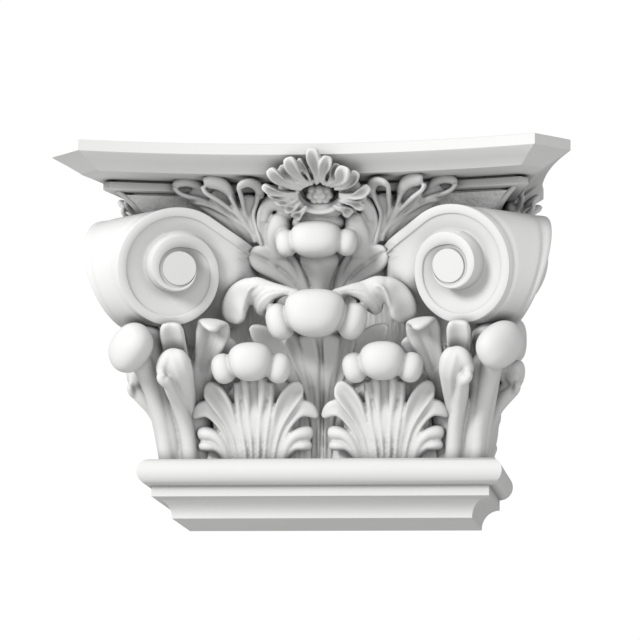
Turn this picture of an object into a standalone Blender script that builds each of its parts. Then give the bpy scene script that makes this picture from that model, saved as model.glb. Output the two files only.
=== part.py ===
"""Pilaster capital: concave abacus, corner volutes, acanthus leaves and a neck moulding, cast in one piece.

Metres, +Z up. X runs along the wall, the front looks to -Y and the flat back lies on the wall plane.
The origin is under the middle of the bounding box. Lengths called "forward" are measured from the wall.
Carving is placed by shares of its own leaf's size: across, up, and out from the bell behind it.
"""

import math

import bmesh
import bpy
from mathutils import Vector

# Neck moulding, from the shaft up
SHAFT_HALF = 0.1252
SHAFT_FORWARD = 0.0965
COVE_RISE = 0.0168
COVE_PROJECTION = 0.0151
COVE_STEPS = 5
FILLET_HEIGHT = 0.0087
TORUS_RADIUS = 0.0112
TORUS_STEPS = 8

# Bell, the smooth body behind the leaves
BELL_HALF = 0.128
BELL_FORWARD = 0.098
BELL_FLARE_START = 0.100
BELL_FLARE_POWER = 2.2
BELL_FRONT_FLARE = 0.042
BELL_SIDE_FLARE = 0.015
BELL_CORNER_CUT = 0.006
BELL_STEPS = 8

# Lip of the bell and abacus above it
LIP_FRONT = 0.148
LIP_SIDE = 0.152
LIP_CORNER_CUT = 0.009
LIP_HEIGHT = 0.0085
ABACUS_TOP = 0.295
ABACUS_FACE_HEIGHT = 0.0094
ABACUS_BEVEL_HEIGHT = 0.0125
ABACUS_BEVEL_INSET = 0.018
ABACUS_FRONT = 0.2013
ABACUS_SIDE = 0.177
ABACUS_BOW_RADIUS = 0.579
ABACUS_CORNER_CUT = 0.044
SOFFIT_CORNER_CUT = 0.026
FRONT_SEGMENTS = 12
SIDE_SEGMENTS = 6

# Volutes, one spiral face to the front and one to the side of each corner
EYE_RADIUS = 0.0138
EYE_RISE = 0.0100
EYE_UP = 0.2010
FRONT_EYE_ACROSS = 0.1137
FRONT_EYE_FORWARD = 0.1595
FRONT_FACE_TURN = math.radians(18.8)
SIDE_EYE_ACROSS = 0.1706
SIDE_EYE_FORWARD = 0.1141
SIDE_FACE_TURN = math.radians(66.0)
VOLUTE_LEAN = math.radians(15.4)
SPIRAL_RADII = (0.0495, 0.0502, 0.0485, 0.0345, 0.0290, 0.0267, 0.0206, EYE_RADIUS)
SPIRAL_START = -22.5
SPIRAL_END = 720.0
SPIRAL_STEP = 22.5
RIM_WIDTH = 0.0075
RIM_RISE_FROM = 330.0
RIM_RISE_TO = 560.0
CHANNEL_DEPTH = 0.0040
STALK_ANGLE = 58.4
STALK_REACH = 0.074

# Leaves: height of the tip over the neck, half width, and how far the tip leans out of the bell
LOWER_RISE = 0.0767
LOWER_REACH = 0.050
LOWER_OVERHANG = 0.0434
LOWER_ACROSS = 0.0545
MIDDLE_RISE = 0.1148
MIDDLE_REACH = 0.080
MIDDLE_OVERHANG = 0.050
CORNER_RISE = 0.088
CORNER_REACH = 0.060
CORNER_OVERHANG = 0.050
CORNER_DIRECTION = (0.52, 0.854)
SIDE_AXIS_FORWARD = -0.008
SIDE_RELIEF = 0.45
FLOWER_RADIUS = 0.044
FLOWER_PETALS = 12
FLOWER_UP = 0.258
FLOWER_FORWARD = 0.182
FLOWER_LEAN = math.radians(45.0)

LOBE_DETAIL = (12, 10)
WALL_DEPTH = 0.03
MELT_CELL = 0.0018
THIN_RATIO = 0.018
SHARP_ANGLE = math.radians(38.0)
PLASTER = (0.86, 0.86, 0.85, 1.0)

FILLET_BASE = COVE_RISE
TORUS_BASE = FILLET_BASE + FILLET_HEIGHT
NECK_TOP = TORUS_BASE + 2 * TORUS_RADIUS
SOFFIT = ABACUS_TOP - ABACUS_FACE_HEIGHT - ABACUS_BEVEL_HEIGHT
BELL_TOP = SOFFIT - LIP_HEIGHT
BOW = 0.5 / ABACUS_BOW_RADIUS


def corner_of(front, side, bow):
    """The point where a bowed front and a bowed side meet, as across and forward."""
    across, forward = side, front
    for _ in range(40):
        across, forward = side + bow * forward ** 2, front + bow * across ** 2
    return across, forward


def outline(front, side, bow, cut, back=-WALL_DEPTH):
    """Half a plan outline from the middle of the front to the back of the side."""
    across, forward = corner_of(front, side, bow)
    front_end = across - cut
    side_end = forward - cut
    points = []
    for step in range(FRONT_SEGMENTS // 2 + 1):
        x = front_end * step / (FRONT_SEGMENTS // 2)
        points.append((x, front + bow * x * x))
    for step in range(SIDE_SEGMENTS + 1):
        q = side_end + (back - side_end) * step / SIDE_SEGMENTS
        points.append((side + bow * q * q, q))
    return points


DEPTH = outline(ABACUS_FRONT, ABACUS_SIDE, BOW, ABACUS_CORNER_CUT)[FRONT_SEGMENTS // 2][1]
WALL_Y = DEPTH / 2


def at(across, forward, up):
    """A point from its distance along the wall, out from the wall, and up."""
    return Vector((across, WALL_Y - forward, up))


def flare(up):
    """How far the bell has opened at a height, from 0 at its straight foot to 1 under the lip."""
    share = (up - BELL_FLARE_START) / (BELL_TOP - BELL_FLARE_START)
    return max(share, 0.0) ** BELL_FLARE_POWER


def bell_front(up):
    """Forward distance of the bell's front, at its middle."""
    return BELL_FORWARD + BELL_FRONT_FLARE * flare(up)


def bell_side(up):
    """Half width of the bell, at its middle."""
    return BELL_HALF + BELL_SIDE_FLARE * flare(up)


def stack(mesh, levels):
    """A solid from plan outlines, one above the other. A level is its height and half an outline."""
    face = None
    for up, half in levels:
        ring = [(-x, q) for x, q in reversed(half)] + half[1:]
        points = [at(x, q, up) for x, q in ring]
        if face is None:
            foot = face = mesh.faces.new([mesh.verts.new(point) for point in points])
            continue
        grown = bmesh.ops.extrude_face_region(mesh, geom=[face])["geom"]
        top = [item for item in grown if isinstance(item, bmesh.types.BMFace)][0]
        for vert, point in zip(top.verts, points):
            vert.co = point
        if face is not foot:
            bmesh.ops.delete(mesh, geom=[face], context="FACES_ONLY")
        face = top
    bmesh.ops.remove_doubles(mesh, verts=mesh.verts[:], dist=1e-6)


def neck(mesh):
    """Shaft end, cove, fillet and torus, as rectangles that grow and shrink."""
    profile = []
    for step in range(COVE_STEPS + 1):
        turn = math.pi / 2 * step / COVE_STEPS
        profile.append((COVE_PROJECTION * (1 - math.cos(turn)), COVE_RISE * math.sin(turn)))
    for step in range(TORUS_STEPS + 1):
        turn = math.pi * step / TORUS_STEPS
        out = COVE_PROJECTION + TORUS_RADIUS * math.sin(turn)
        profile.append((out, TORUS_BASE + TORUS_RADIUS * (1 - math.cos(turn))))
    levels = []
    for out, up in profile:
        corner = (SHAFT_HALF + out, SHAFT_FORWARD + out)
        levels.append((up, [(0.0, corner[1]), corner, (corner[0], -2 * WALL_DEPTH)]))
    stack(mesh, levels)


def bell(mesh):
    """The bell, from inside the neck to inside the abacus."""
    levels = []
    foot = NECK_TOP - TORUS_RADIUS
    for step in range(BELL_STEPS + 1):
        share = (step / BELL_STEPS) ** 0.8
        up = foot + (BELL_TOP - foot) * share
        opening = flare(up)
        cut = BELL_CORNER_CUT * opening
        half = outline(bell_front(up), bell_side(up), BOW * opening, cut, -0.5 * WALL_DEPTH)
        levels.append((up, half))
    levels.append((SOFFIT + 0.5 * ABACUS_BEVEL_HEIGHT, half))
    stack(mesh, levels)


def abacus(mesh):
    """The lip of the bell and the abacus over it."""
    levels = []
    lip = outline(LIP_FRONT, LIP_SIDE, BOW, LIP_CORNER_CUT)
    inset = ABACUS_BEVEL_INSET
    soffit = outline(ABACUS_FRONT - inset, ABACUS_SIDE - inset, BOW, SOFFIT_CORNER_CUT)
    face = outline(ABACUS_FRONT, ABACUS_SIDE, BOW, ABACUS_CORNER_CUT)
    levels.append((BELL_TOP, lip))
    levels.append((SOFFIT, lip))
    levels.append((SOFFIT, soffit))
    levels.append((ABACUS_TOP - ABACUS_FACE_HEIGHT, face))
    levels.append((ABACUS_TOP, face))
    stack(mesh, levels)


def along(stations, share):
    """A station's numbers at a share of a path, on a smooth curve through the given stations."""
    last = len(stations) - 1
    place = min(max(share, 0.0), 1.0) * last
    index = min(int(place), last - 1)
    t = place - index
    before = stations[max(index - 1, 0)]
    start = stations[index]
    end = stations[index + 1]
    after = stations[min(index + 2, last)]
    values = []
    for a, b, c, d in zip(before, start, end, after):
        values.append(b + 0.5 * t * (c - a + t * (2 * a - 5 * b + 4 * c - d + t * (3 * (b - c) + d - a))))
    return values


def lobe(mesh, stations, outward):
    """A rounded finger along a path of stations, each with x, y, z, half width and half depth."""
    sides, rings = LOBE_DETAIL
    chord = Vector(stations[-1][:3]) - Vector(stations[0][:3])
    across = chord.cross(outward).normalized()
    ball = bmesh.ops.create_uvsphere(mesh, u_segments=sides, v_segments=rings, radius=1.0)
    for vert in ball["verts"]:
        share = math.acos(max(-1.0, min(1.0, -vert.co.z))) / math.pi
        turn = math.atan2(vert.co.y, vert.co.x)
        values = along(stations, share)
        ahead = Vector(along(stations, share + 0.02)[:3])
        behind = Vector(along(stations, share - 0.02)[:3])
        tangent = (ahead - behind).normalized()
        normal = across.cross(tangent).normalized()
        plump = max(0.0, 1 - abs(2 * share - 1) ** 3) ** 0.5
        width = values[3] * plump * math.cos(turn)
        depth = values[4] * plump * math.sin(turn)
        vert.co = Vector(values[:3]) + across * width + normal * depth


def knob(mesh, centre, across, size):
    """A rounded boss at a centre; size is its half width, half depth and half height."""
    outward = Vector((across.y, -across.x, 0.0))
    sides, rings = LOBE_DETAIL
    ball = bmesh.ops.create_uvsphere(mesh, u_segments=sides, v_segments=rings, radius=1.0)
    for vert in ball["verts"]:
        x, y, z = vert.co
        vert.co = centre + across * (size[0] * x) + outward * (size[1] * y) + Vector((0, 0, size[2] * z))


class Face:
    """One face of the capital. It turns shares of a leaf's size into points in front of the bell."""

    def __init__(self, side, sign):
        self.side = side
        self.sign = sign
        self.relief = SIDE_RELIEF if side else 1.0
        self.across = Vector((0, 1, 0)) if side else Vector((sign, 0, 0))
        self.outward = Vector((sign, 0, 0)) if side else Vector((0, -1, 0))

    def point(self, across, up, out):
        """A point by its distance from the face's middle, its height and its distance off the bell."""
        if self.side:
            return at(self.sign * (bell_side(up) + self.relief * out), SIDE_AXIS_FORWARD + across, up)
        return at(self.sign * across, bell_front(up) + out, up)

    def corner_point(self, across, up, out):
        """The same, with across measured back from the bell's corner."""
        reach = bell_front(up) - SIDE_AXIS_FORWARD if self.side else bell_side(up)
        return self.point(reach - across, up, out)

    def carve(self, mesh, place, sizes, shares):
        """A lobe from stations in shares: across, up, out, half width, half depth."""
        rise, reach, overhang = sizes
        stations = []
        for across, up, out, width, depth in shares:
            centre = place(across * reach, NECK_TOP + up * rise, out * overhang)
            stations.append((*centre, width * reach, depth * reach))
        lobe(mesh, stations, self.outward)

    def boss(self, mesh, place, sizes, share):
        """A knob from one row of shares: across, up, out, half width, half depth, half height."""
        rise, reach, overhang = sizes
        across, up, out, width, depth, height = share
        centre = place(across * reach, NECK_TOP + up * rise, out * overhang)
        knob(mesh, centre, self.across, (width * reach, depth * reach * self.relief, height * reach))


def lower_leaf(mesh, face):
    """Fluted leaf with pairs of side lobes and a curled tip of three knobs."""
    sizes = (LOWER_RISE, LOWER_REACH, LOWER_OVERHANG)

    def place(across, up, out):
        return face.point(LOWER_ACROSS + across, up, out)

    def carve(*shares):
        face.carve(mesh, place, sizes, shares)

    carve((0, -0.12, 0.0, 0.42, 0.18), (0, 0.30, 0.06, 0.54, 0.20), (0, 0.65, 0.16, 0.66, 0.20),
          (0, 0.90, 0.42, 0.44, 0.20), (0, 1.06, 0.82, 0.26, 0.18))
    for sign in (-1, 1):
        carve((sign * 0.07, -0.06, 0.20, 0.06, 0.06), (sign * 0.08, 0.40, 0.32, 0.06, 0.07),
              (sign * 0.11, 0.75, 0.48, 0.09, 0.08), (sign * 0.10, 1.00, 0.92, 0.09, 0.08))
        carve((sign * 0.20, -0.06, 0.18, 0.05, 0.07), (sign * 0.24, 0.42, 0.30, 0.08, 0.09),
              (sign * 0.46, 0.76, 0.42, 0.17, 0.10), (sign * 0.80, 0.84, 0.46, 0.13, 0.10))
        carve((sign * 0.31, -0.06, 0.16, 0.05, 0.08), (sign * 0.42, 0.28, 0.28, 0.09, 0.10),
              (sign * 0.72, 0.52, 0.34, 0.17, 0.13), (sign * 1.06, 0.43, 0.24, 0.14, 0.12))
        carve((sign * 0.38, -0.03, 0.12, 0.05, 0.08), (sign * 0.62, 0.20, 0.20, 0.10, 0.11),
              (sign * 1.04, 0.27, 0.20, 0.12, 0.14))
        carve((sign * 0.40, -0.04, 0.12, 0.05, 0.06), (sign * 0.64, 0.06, 0.16, 0.08, 0.11),
              (sign * 0.98, 0.12, 0.18, 0.10, 0.13))
        face.boss(mesh, place, sizes, (sign * 0.49, 0.94, 0.86, 0.19, 0.20, 0.27))
    face.boss(mesh, place, sizes, (0, 1.0, 1.0, 0.40, 0.34, 0.36))


def middle_leaf(mesh, face, signs):
    """The tall leaf on a face's middle: stem, knobs, drooping wings, lance leaves and upper knobs."""
    sizes = (MIDDLE_RISE, MIDDLE_REACH, MIDDLE_OVERHANG)

    def carve(*shares):
        face.carve(mesh, face.point, sizes, shares)

    def boss(*share):
        face.boss(mesh, face.point, sizes, share)

    carve((0, -0.1, 0.0, 0.16, 0.12), (0, 0.35, 0.05, 0.18, 0.12), (0, 0.75, 0.20, 0.30, 0.15),
          (0, 1.05, 0.85, 0.24, 0.15))
    carve((0, 0.95, 0.45, 0.12, 0.20), (0, 1.22, 0.25, 0.14, 0.20), (0, 1.40, 0.25, 0.22, 0.20),
          (0, 1.60, 0.35, 0.22, 0.20))
    boss(0, 1.0, 1.0, 0.35, 0.25, 0.265)
    boss(0, 1.534, 0.60, 0.315, 0.24, 0.225)
    for sign in signs:
        carve((sign * 0.05, -0.05, 0.14, 0.04, 0.06), (sign * 0.07, 0.40, 0.20, 0.05, 0.06),
              (sign * 0.12, 0.72, 0.38, 0.07, 0.07), (sign * 0.13, 1.0, 0.92, 0.07, 0.07))
        carve((sign * 0.10, 0.10, 0.02, 0.10, 0.08), (sign * 0.28, 0.55, 0.10, 0.20, 0.09),
              (sign * 0.46, 0.84, 0.26, 0.22, 0.09), (sign * 0.74, 0.98, 0.40, 0.10, 0.08))
        carve((sign * 0.16, 1.12, 0.72, 0.08, 0.14), (sign * 0.50, 1.18, 0.60, 0.13, 0.16),
              (sign * 0.82, 1.14, 0.48, 0.19, 0.16), (sign * 0.98, 0.96, 0.42, 0.15, 0.12))
        carve((sign * 0.46, 1.20, 0.50, 0.16, 0.14), (sign * 0.54, 1.10, 0.62, 0.17, 0.13),
              (sign * 0.60, 0.97, 0.58, 0.07, 0.07))
        carve((sign * 0.08, 1.12, 0.30, 0.08, 0.16), (sign * 0.38, 1.32, 0.30, 0.15, 0.12),
              (sign * 0.71, 1.47, 0.34, 0.06, 0.07))
        carve((sign * 0.28, 1.50, 0.30, 0.12, 0.18), (sign * 0.44, 1.66, 0.38, 0.19, 0.18),
              (sign * 0.32, 1.82, 0.46, 0.15, 0.14))
        boss(sign * 0.425, 0.95, 0.84, 0.145, 0.15, 0.20)
        boss(sign * 0.36, 1.52, 0.50, 0.105, 0.14, 0.17)


def calyx(mesh, face):
    """Three hooded lobes that spread from behind the lance leaf to the underside of the abacus."""
    sizes = (MIDDLE_RISE, MIDDLE_REACH, MIDDLE_OVERHANG)
    for tip, up, out, width in ((0.74, 1.90, 0.74, 0.13), (1.13, 1.91, 0.64, 0.18), (1.46, 1.87, 0.54, 0.17)):
        middle = 0.58 + 0.42 * (tip - 0.58)
        root = [(0.58, 1.40, 0.12, 0.08, 0.14), (middle, 1.68, out * 0.38, 0.13, 0.13)]
        hood = [(tip - 0.04, up, out * 0.84, width, 0.11), (tip + 0.04, up - 0.03, out * 1.04, width, 0.09)]
        face.carve(mesh, face.point, sizes, root + hood)
        face.boss(mesh, face.point, sizes, (tip + 0.05, up - 0.04, out * 1.04, 0.9 * width, 0.13, 0.085))


def corner_leaf(mesh, face):
    """One half of the leaf that wraps the bell's corner under the volute."""
    sizes = (CORNER_RISE, CORNER_REACH, CORNER_OVERHANG)

    def carve(*shares):
        face.carve(mesh, face.corner_point, sizes, shares)

    carve((0.36, -0.12, 0.0, 0.30, 0.12), (0.42, 0.45, 0.02, 0.36, 0.14), (0.50, 0.85, 0.12, 0.40, 0.14),
          (0.55, 1.10, 0.34, 0.36, 0.12))
    carve((0.22, -0.12, 0.02, 0.15, 0.18), (0.24, 0.45, 0.12, 0.15, 0.18), (0.20, 0.80, 0.42, 0.18, 0.17),
          (0.17, 1.02, 0.85, 0.20, 0.15), (0.20, 0.86, 1.02, 0.16, 0.13))
    carve((0.26, 0.70, 0.10, 0.17, 0.16), (0.25, 1.00, 0.60, 0.19, 0.15), (0.22, 1.26, 0.96, 0.20, 0.11))
    carve((0.42, -0.06, 0.0, 0.13, 0.14), (0.48, 0.45, 0.10, 0.15, 0.14), (0.58, 0.95, 0.32, 0.24, 0.14),
          (0.74, 1.27, 0.62, 0.32, 0.12), (0.96, 1.14, 0.70, 0.18, 0.10))
    carve((0.66, 0.50, 0.0, 0.14, 0.12), (0.80, 0.80, 0.12, 0.15, 0.12), (0.95, 1.04, 0.24, 0.12, 0.10))


def corner_stem(mesh, sign):
    """The stem on the corner itself and the large knob that it carries."""
    direction = Vector(CORNER_DIRECTION)
    outward = Vector((sign * direction.x, -direction.y, 0.0))
    across = Vector((sign * direction.y, direction.x, 0.0))
    shares = [(-0.1, -0.02, 0.16, 0.20), (0.45, 0.06, 0.17, 0.20)]
    shares += [(0.80, 0.42, 0.20, 0.20), (1.0, 0.80, 0.22, 0.22)]
    stations = []
    for up, out, width, depth in shares:
        height = NECK_TOP + up * CORNER_RISE
        base = at(sign * bell_side(height), bell_front(height), height)
        centre = base + outward * (out * CORNER_OVERHANG)
        stations.append((*centre, width * CORNER_REACH, depth * CORNER_REACH))
    lobe(mesh, stations, outward)
    height = NECK_TOP + CORNER_RISE
    base = at(sign * bell_side(height), bell_front(height), height)
    size = [share * CORNER_REACH for share in (0.345, 0.30, 0.345)]
    knob(mesh, base + outward * CORNER_OVERHANG, across, size)


def spiral_radius(turn):
    """Radius of the spiral's outer edge. It starts as the straight stalk and winds in to the eye."""
    first = SPIRAL_RADII[0]
    if turn < STALK_ANGLE:
        straight = first / math.cos(math.radians(STALK_ANGLE - turn))
        return min(straight, STALK_REACH / math.cos(math.radians(turn)))
    if turn < 90:
        return first
    place = min((turn - 90) / 90, len(SPIRAL_RADII) - 1)
    index = min(int(place), len(SPIRAL_RADII) - 2)
    start, end = SPIRAL_RADII[index], SPIRAL_RADII[index + 1]
    return start + (end - start) * (place - index)


def rim_level(turn):
    """Height of the rim over the face: the inner turn stands up to the eye."""
    share = min(max((turn - RIM_RISE_FROM) / (RIM_RISE_TO - RIM_RISE_FROM), 0.0), 1.0)
    return EYE_RISE * share * share * (3 - 2 * share)


def spiral_section(turn):
    """Radius and level of the points across one turn, from its outer edge to the next turn in."""
    outer = spiral_radius(turn)
    inner = spiral_radius(turn + 360)
    level = rim_level(turn)
    room = outer - inner
    rim = min(RIM_WIDTH, 0.55 * room)
    groove = min(CHANNEL_DEPTH, 0.8 * room)
    return [(outer, level), (outer - rim, level), (outer - rim - 0.1 * room, level - groove),
            (inner + 0.08 * room, level - groove), (inner, rim_level(turn + 360))]


def volute(mesh, sign):
    """Two spiral faces and the drum between them, which turns the corner."""
    count = int((SPIRAL_END - SPIRAL_START) / SPIRAL_STEP) + 1
    outer_turns = int(360 / SPIRAL_STEP)
    last_turn = int((360 - SPIRAL_START) / SPIRAL_STEP)
    borders = []
    frames = ((FRONT_EYE_ACROSS, FRONT_EYE_FORWARD, FRONT_FACE_TURN, 1),
              (SIDE_EYE_ACROSS, SIDE_EYE_FORWARD, SIDE_FACE_TURN, -1))
    for across, forward, turn, facing in frames:
        centre = at(sign * across, forward, EYE_UP)
        inward = Vector((-sign * math.cos(turn), math.sin(turn), 0.0))
        level_out = Vector((-sign * facing * math.sin(turn), -facing * math.cos(turn), 0.0))
        outward = level_out * math.cos(VOLUTE_LEAN) - Vector((0, 0, math.sin(VOLUTE_LEAN)))
        upward = level_out * math.sin(VOLUTE_LEAN) + Vector((0, 0, math.cos(VOLUTE_LEAN)))
        columns = []
        for index in range(count):
            degrees = SPIRAL_START + SPIRAL_STEP * index
            ray = inward * math.cos(math.radians(degrees)) + upward * math.sin(math.radians(degrees))
            column = []
            for radius, level in spiral_section(degrees):
                column.append(mesh.verts.new(centre + ray * radius + outward * level))
            columns.append(column)
        for left, right in zip(columns, columns[1:]):
            for low in range(len(left) - 1):
                mesh.faces.new((left[low], right[low], right[low + 1], left[low + 1]))
        border = [column[0] for column in columns[:outer_turns + 1]]
        border += columns[0][-2:0:-1]
        hub = mesh.verts.new(centre + outward * EYE_RISE)
        rims = [column[-1] for column in columns[last_turn:]]
        borders.append(border)
        for first, second in zip(rims, rims[1:]):
            mesh.faces.new((hub, first, second))
    front, back = borders
    for index in range(len(front)):
        after = (index + 1) % len(front)
        mesh.faces.new((front[index], front[after], back[after], back[index]))
    bmesh.ops.remove_doubles(mesh, verts=mesh.verts[:], dist=1e-6)
    bmesh.ops.dissolve_degenerate(mesh, dist=1e-6, edges=mesh.edges[:])


def flower(mesh):
    """The flower on the middle of the abacus: a leaning ring of petals round a hollow with a bud."""
    lean_out = Vector((0, -math.cos(FLOWER_LEAN), -math.sin(FLOWER_LEAN)))
    lean_up = Vector((0, -math.sin(FLOWER_LEAN), math.cos(FLOWER_LEAN)))
    across = Vector((1, 0, 0))
    centre = at(0.0, FLOWER_FORWARD, FLOWER_UP)
    shares = ((0.28, -0.20, 0.16), (0.60, 0.02, 0.20), (0.88, 0.08, 0.23), (1.0, -0.04, 0.18))
    for index in range(FLOWER_PETALS):
        turn = 2 * math.pi * (index + 0.5) / FLOWER_PETALS
        ray = across * math.cos(turn) + lean_up * math.sin(turn)
        stations = []
        reach = FLOWER_RADIUS * (1.0 if index % 2 else 0.92)
        for radius, out, width in shares:
            place = centre + ray * (radius * reach) + lean_out * (out * reach)
            stations.append((*place, width * reach, 0.12 * reach))
        lobe(mesh, stations, lean_out)
    root = at(0.0, bell_front(FLOWER_UP), FLOWER_UP - 0.3 * FLOWER_RADIUS)
    base = centre - lean_out * (0.10 * FLOWER_RADIUS)
    stalk = 0.5 * FLOWER_RADIUS
    lobe(mesh, [(*root, stalk, stalk), (*base, 1.1 * stalk, 1.1 * stalk)], Vector((0, 0, 1)))


def smooth(data):
    """Round where it is round, with its creases kept."""
    data.shade_smooth()
    data.set_sharp_from_angle(angle=SHARP_ANGLE)


def add_object(name, build, *settings):
    """A new object from a function that fills a mesh; faces point out."""
    mesh = bmesh.new()
    build(mesh, *settings)
    bmesh.ops.recalc_face_normals(mesh, faces=mesh.faces[:])
    data = bpy.data.meshes.new(name)
    mesh.to_mesh(data)
    mesh.free()
    smooth(data)
    item = bpy.data.objects.new(name, data)
    bpy.context.scene.collection.objects.link(item)
    return item


def plaster():
    """Matt white cast plaster."""
    material = bpy.data.materials.new("plaster")
    material.use_nodes = True
    shader = material.node_tree.nodes["Principled BSDF"]
    shader.inputs["Base Color"].default_value = PLASTER
    shader.inputs["Roughness"].default_value = 0.75
    shader.inputs["Metallic"].default_value = 0.0
    return material


def wall_block(mesh):
    """A block behind the wall plane, which cuts the back flat."""
    bmesh.ops.create_cube(mesh, size=1.0)
    for vert in mesh.verts:
        vert.co.y += WALL_Y + 0.5


def carvings(mesh):
    """The bell with every leaf, knob and flower, as closed shapes that overlap each other."""
    bell(mesh)
    for sign in (-1, 1):
        front = Face(False, sign)
        side = Face(True, sign)
        for face in (front, side):
            lower_leaf(mesh, face)
            calyx(mesh, face)
            corner_leaf(mesh, face)
        middle_leaf(mesh, side, (1,))
        corner_stem(mesh, sign)
    middle_leaf(mesh, Face(False, 1), (-1, 1))
    flower(mesh)


def island(start):
    """Every vertex that hangs together with the first one."""
    found = {start}
    edge = [start]
    while edge:
        vert = edge.pop()
        for link in vert.link_edges:
            other = link.other_vert(vert)
            if other not in found:
                found.add(other)
                edge.append(other)
    return found


def settle(item):
    """Apply the item's modifiers and keep its largest skin: sealed pockets leave small ones inside."""
    graph = bpy.context.evaluated_depsgraph_get()
    data = bpy.data.meshes.new_from_object(item.evaluated_get(graph))
    mesh = bmesh.new()
    mesh.from_mesh(data)
    left = set(mesh.verts)
    skins = []
    while left:
        skins.append(island(next(iter(left))))
        left -= skins[-1]
    skins.sort(key=len)
    for skin in skins[:-1]:
        bmesh.ops.delete(mesh, geom=list(skin), context="VERTS")
    mesh.to_mesh(data)
    mesh.free()
    smooth(data)
    item.modifiers.clear()
    item.data = data


def fuse(item):
    """Melt overlapping closed shapes into one skin and thin its triangles where it is smooth."""
    melt = item.modifiers.new("melt", "REMESH")
    melt.mode = "VOXEL"
    melt.voxel_size = MELT_CELL
    soften = item.modifiers.new("soften", "SMOOTH")
    soften.factor = 0.5
    soften.iterations = 2
    thin = item.modifiers.new("thin", "DECIMATE")
    thin.ratio = THIN_RATIO
    settle(item)


def join(target, tool, operation):
    """A Boolean on the target with a guide that is not part of the model."""
    tool.hide_render = True
    tool.display_type = "WIRE"
    modifier = target.modifiers.new(operation.lower() + "_" + tool.name, "BOOLEAN")
    modifier.operation = operation
    modifier.solver = "EXACT"
    modifier.object = tool


def main():
    for item in list(bpy.data.objects):
        bpy.data.objects.remove(item, do_unlink=True)
    capital = add_object("capital", abacus)
    join(capital, add_object("neck_guide", neck), "UNION")
    for sign, name in ((-1, "left"), (1, "right")):
        join(capital, add_object(name + "_volute_guide", volute, sign), "UNION")
    carving = add_object("carving_guide", carvings)
    fuse(carving)
    join(capital, carving, "UNION")
    join(capital, add_object("wall_guide", wall_block), "DIFFERENCE")
    settle(capital)
    capital.data.materials.clear()
    capital.data.materials.append(plaster())


main()
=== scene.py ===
"""Looks of a white cast pilaster capital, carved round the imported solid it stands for."""

from __future__ import annotations

import logging
import math
from dataclasses import dataclass, field, replace
from enum import Enum
from typing import Callable, Sequence

import bmesh
import bpy
from mathutils import Matrix, Vector

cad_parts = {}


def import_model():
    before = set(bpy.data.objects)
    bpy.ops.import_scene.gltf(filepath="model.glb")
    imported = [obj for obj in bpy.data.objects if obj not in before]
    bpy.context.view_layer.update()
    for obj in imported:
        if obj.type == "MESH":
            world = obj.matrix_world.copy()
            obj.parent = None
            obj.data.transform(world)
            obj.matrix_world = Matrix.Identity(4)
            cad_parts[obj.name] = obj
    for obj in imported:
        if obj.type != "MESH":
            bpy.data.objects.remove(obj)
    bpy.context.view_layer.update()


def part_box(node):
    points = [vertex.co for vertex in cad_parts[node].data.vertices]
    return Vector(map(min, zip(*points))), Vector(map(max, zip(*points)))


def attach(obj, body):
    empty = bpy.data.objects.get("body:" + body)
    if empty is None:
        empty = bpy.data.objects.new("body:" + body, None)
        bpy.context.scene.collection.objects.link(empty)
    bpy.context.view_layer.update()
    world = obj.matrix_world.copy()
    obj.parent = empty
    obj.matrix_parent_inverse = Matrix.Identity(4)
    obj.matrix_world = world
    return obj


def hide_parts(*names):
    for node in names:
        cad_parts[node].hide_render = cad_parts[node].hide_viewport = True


LOG = logging.getLogger("capital")
MM = 0.001
NODE = "capital"
BODY = "root"
ACROSS = Vector((1, 0, 0))
WELD = 1e-6
CORNER_ROUNDS = 40


def clamp(value: float, low: float = 0.0, high: float = 1.0) -> float:
    """A value held between two limits."""
    return min(max(value, low), high)


def ramp(value: float, start: float, end: float) -> float:
    """How far a value has gone from start to end, held between 0 and 1."""
    return clamp((value - start) / (end - start))


def ease(share: float) -> float:
    """A share between 0 and 1 with a soft start and a soft end."""
    return share * share * (3 - 2 * share)


def along(stations: Sequence[Sequence[float]], share: float) -> list[float]:
    """Find the numbers at a share of a path, on a smooth curve through its stations.

    Args:
        stations: The numbers of each station.
        share: How far along, from 0 to 1.

    Returns:
        The numbers there.
    """
    last = len(stations) - 1
    place = clamp(share) * last
    index = min(int(place), last - 1)
    t = place - index
    rows = [stations[min(max(index + step, 0), last)] for step in (-1, 0, 1, 2)]
    values = []
    for a, b, c, d in zip(*rows):
        bend = 2 * a - 5 * b + 4 * c - d + t * (3 * (b - c) + d - a)
        values.append(b + 0.5 * t * (c - a + t * bend))
    return values


class Side(Enum):
    """Which face of the capital a carving is placed on."""

    FRONT = "front"
    FLANK = "flank"


@dataclass(frozen=True)
class Cut:
    """One station of a carved lobe, in millimetres on a face of the capital.

    across is from the face's middle (or from the leaf's own axis), up is over the neck moulding
    and out is in front of the bell. hollow scoops the front, from 0 to 1.
    """

    across: float
    up: float
    out: float
    width: float = 0.0
    depth: float = 0.0
    hollow: float = 0.0


Pair = tuple[float, float]
Triple = tuple[float, float, float]
Rows = tuple[tuple[float, ...], ...]
Path = tuple[Cut, ...]
Place = Callable[[Cut], Vector]
Outline = list[Pair]
Sheet = dict[tuple[int, int], bmesh.types.BMVert]


def path(*rows: Sequence[float]) -> Path:
    """Stations from rows of numbers, each in the order of a cut's fields."""
    return tuple(Cut(*row) for row in rows)


@dataclass(frozen=True)
class Knob:
    """A boss on a leaf.

    at is its middle and size its half width, half depth and half height, in millimetres. lean is
    in degrees, taper is how much wider it is at the top, and power is 2 for an ellipsoid and more
    for a squarer shape.
    """

    at: Cut
    size: Triple
    lean: float = 0.0
    taper: float = 0.0
    power: float = 2.3

    def flattened(self, share: float) -> Knob:
        """The same knob with a share of its depth."""
        width, depth, height = self.size
        return replace(self, size=(width, depth * share, height))


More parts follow.
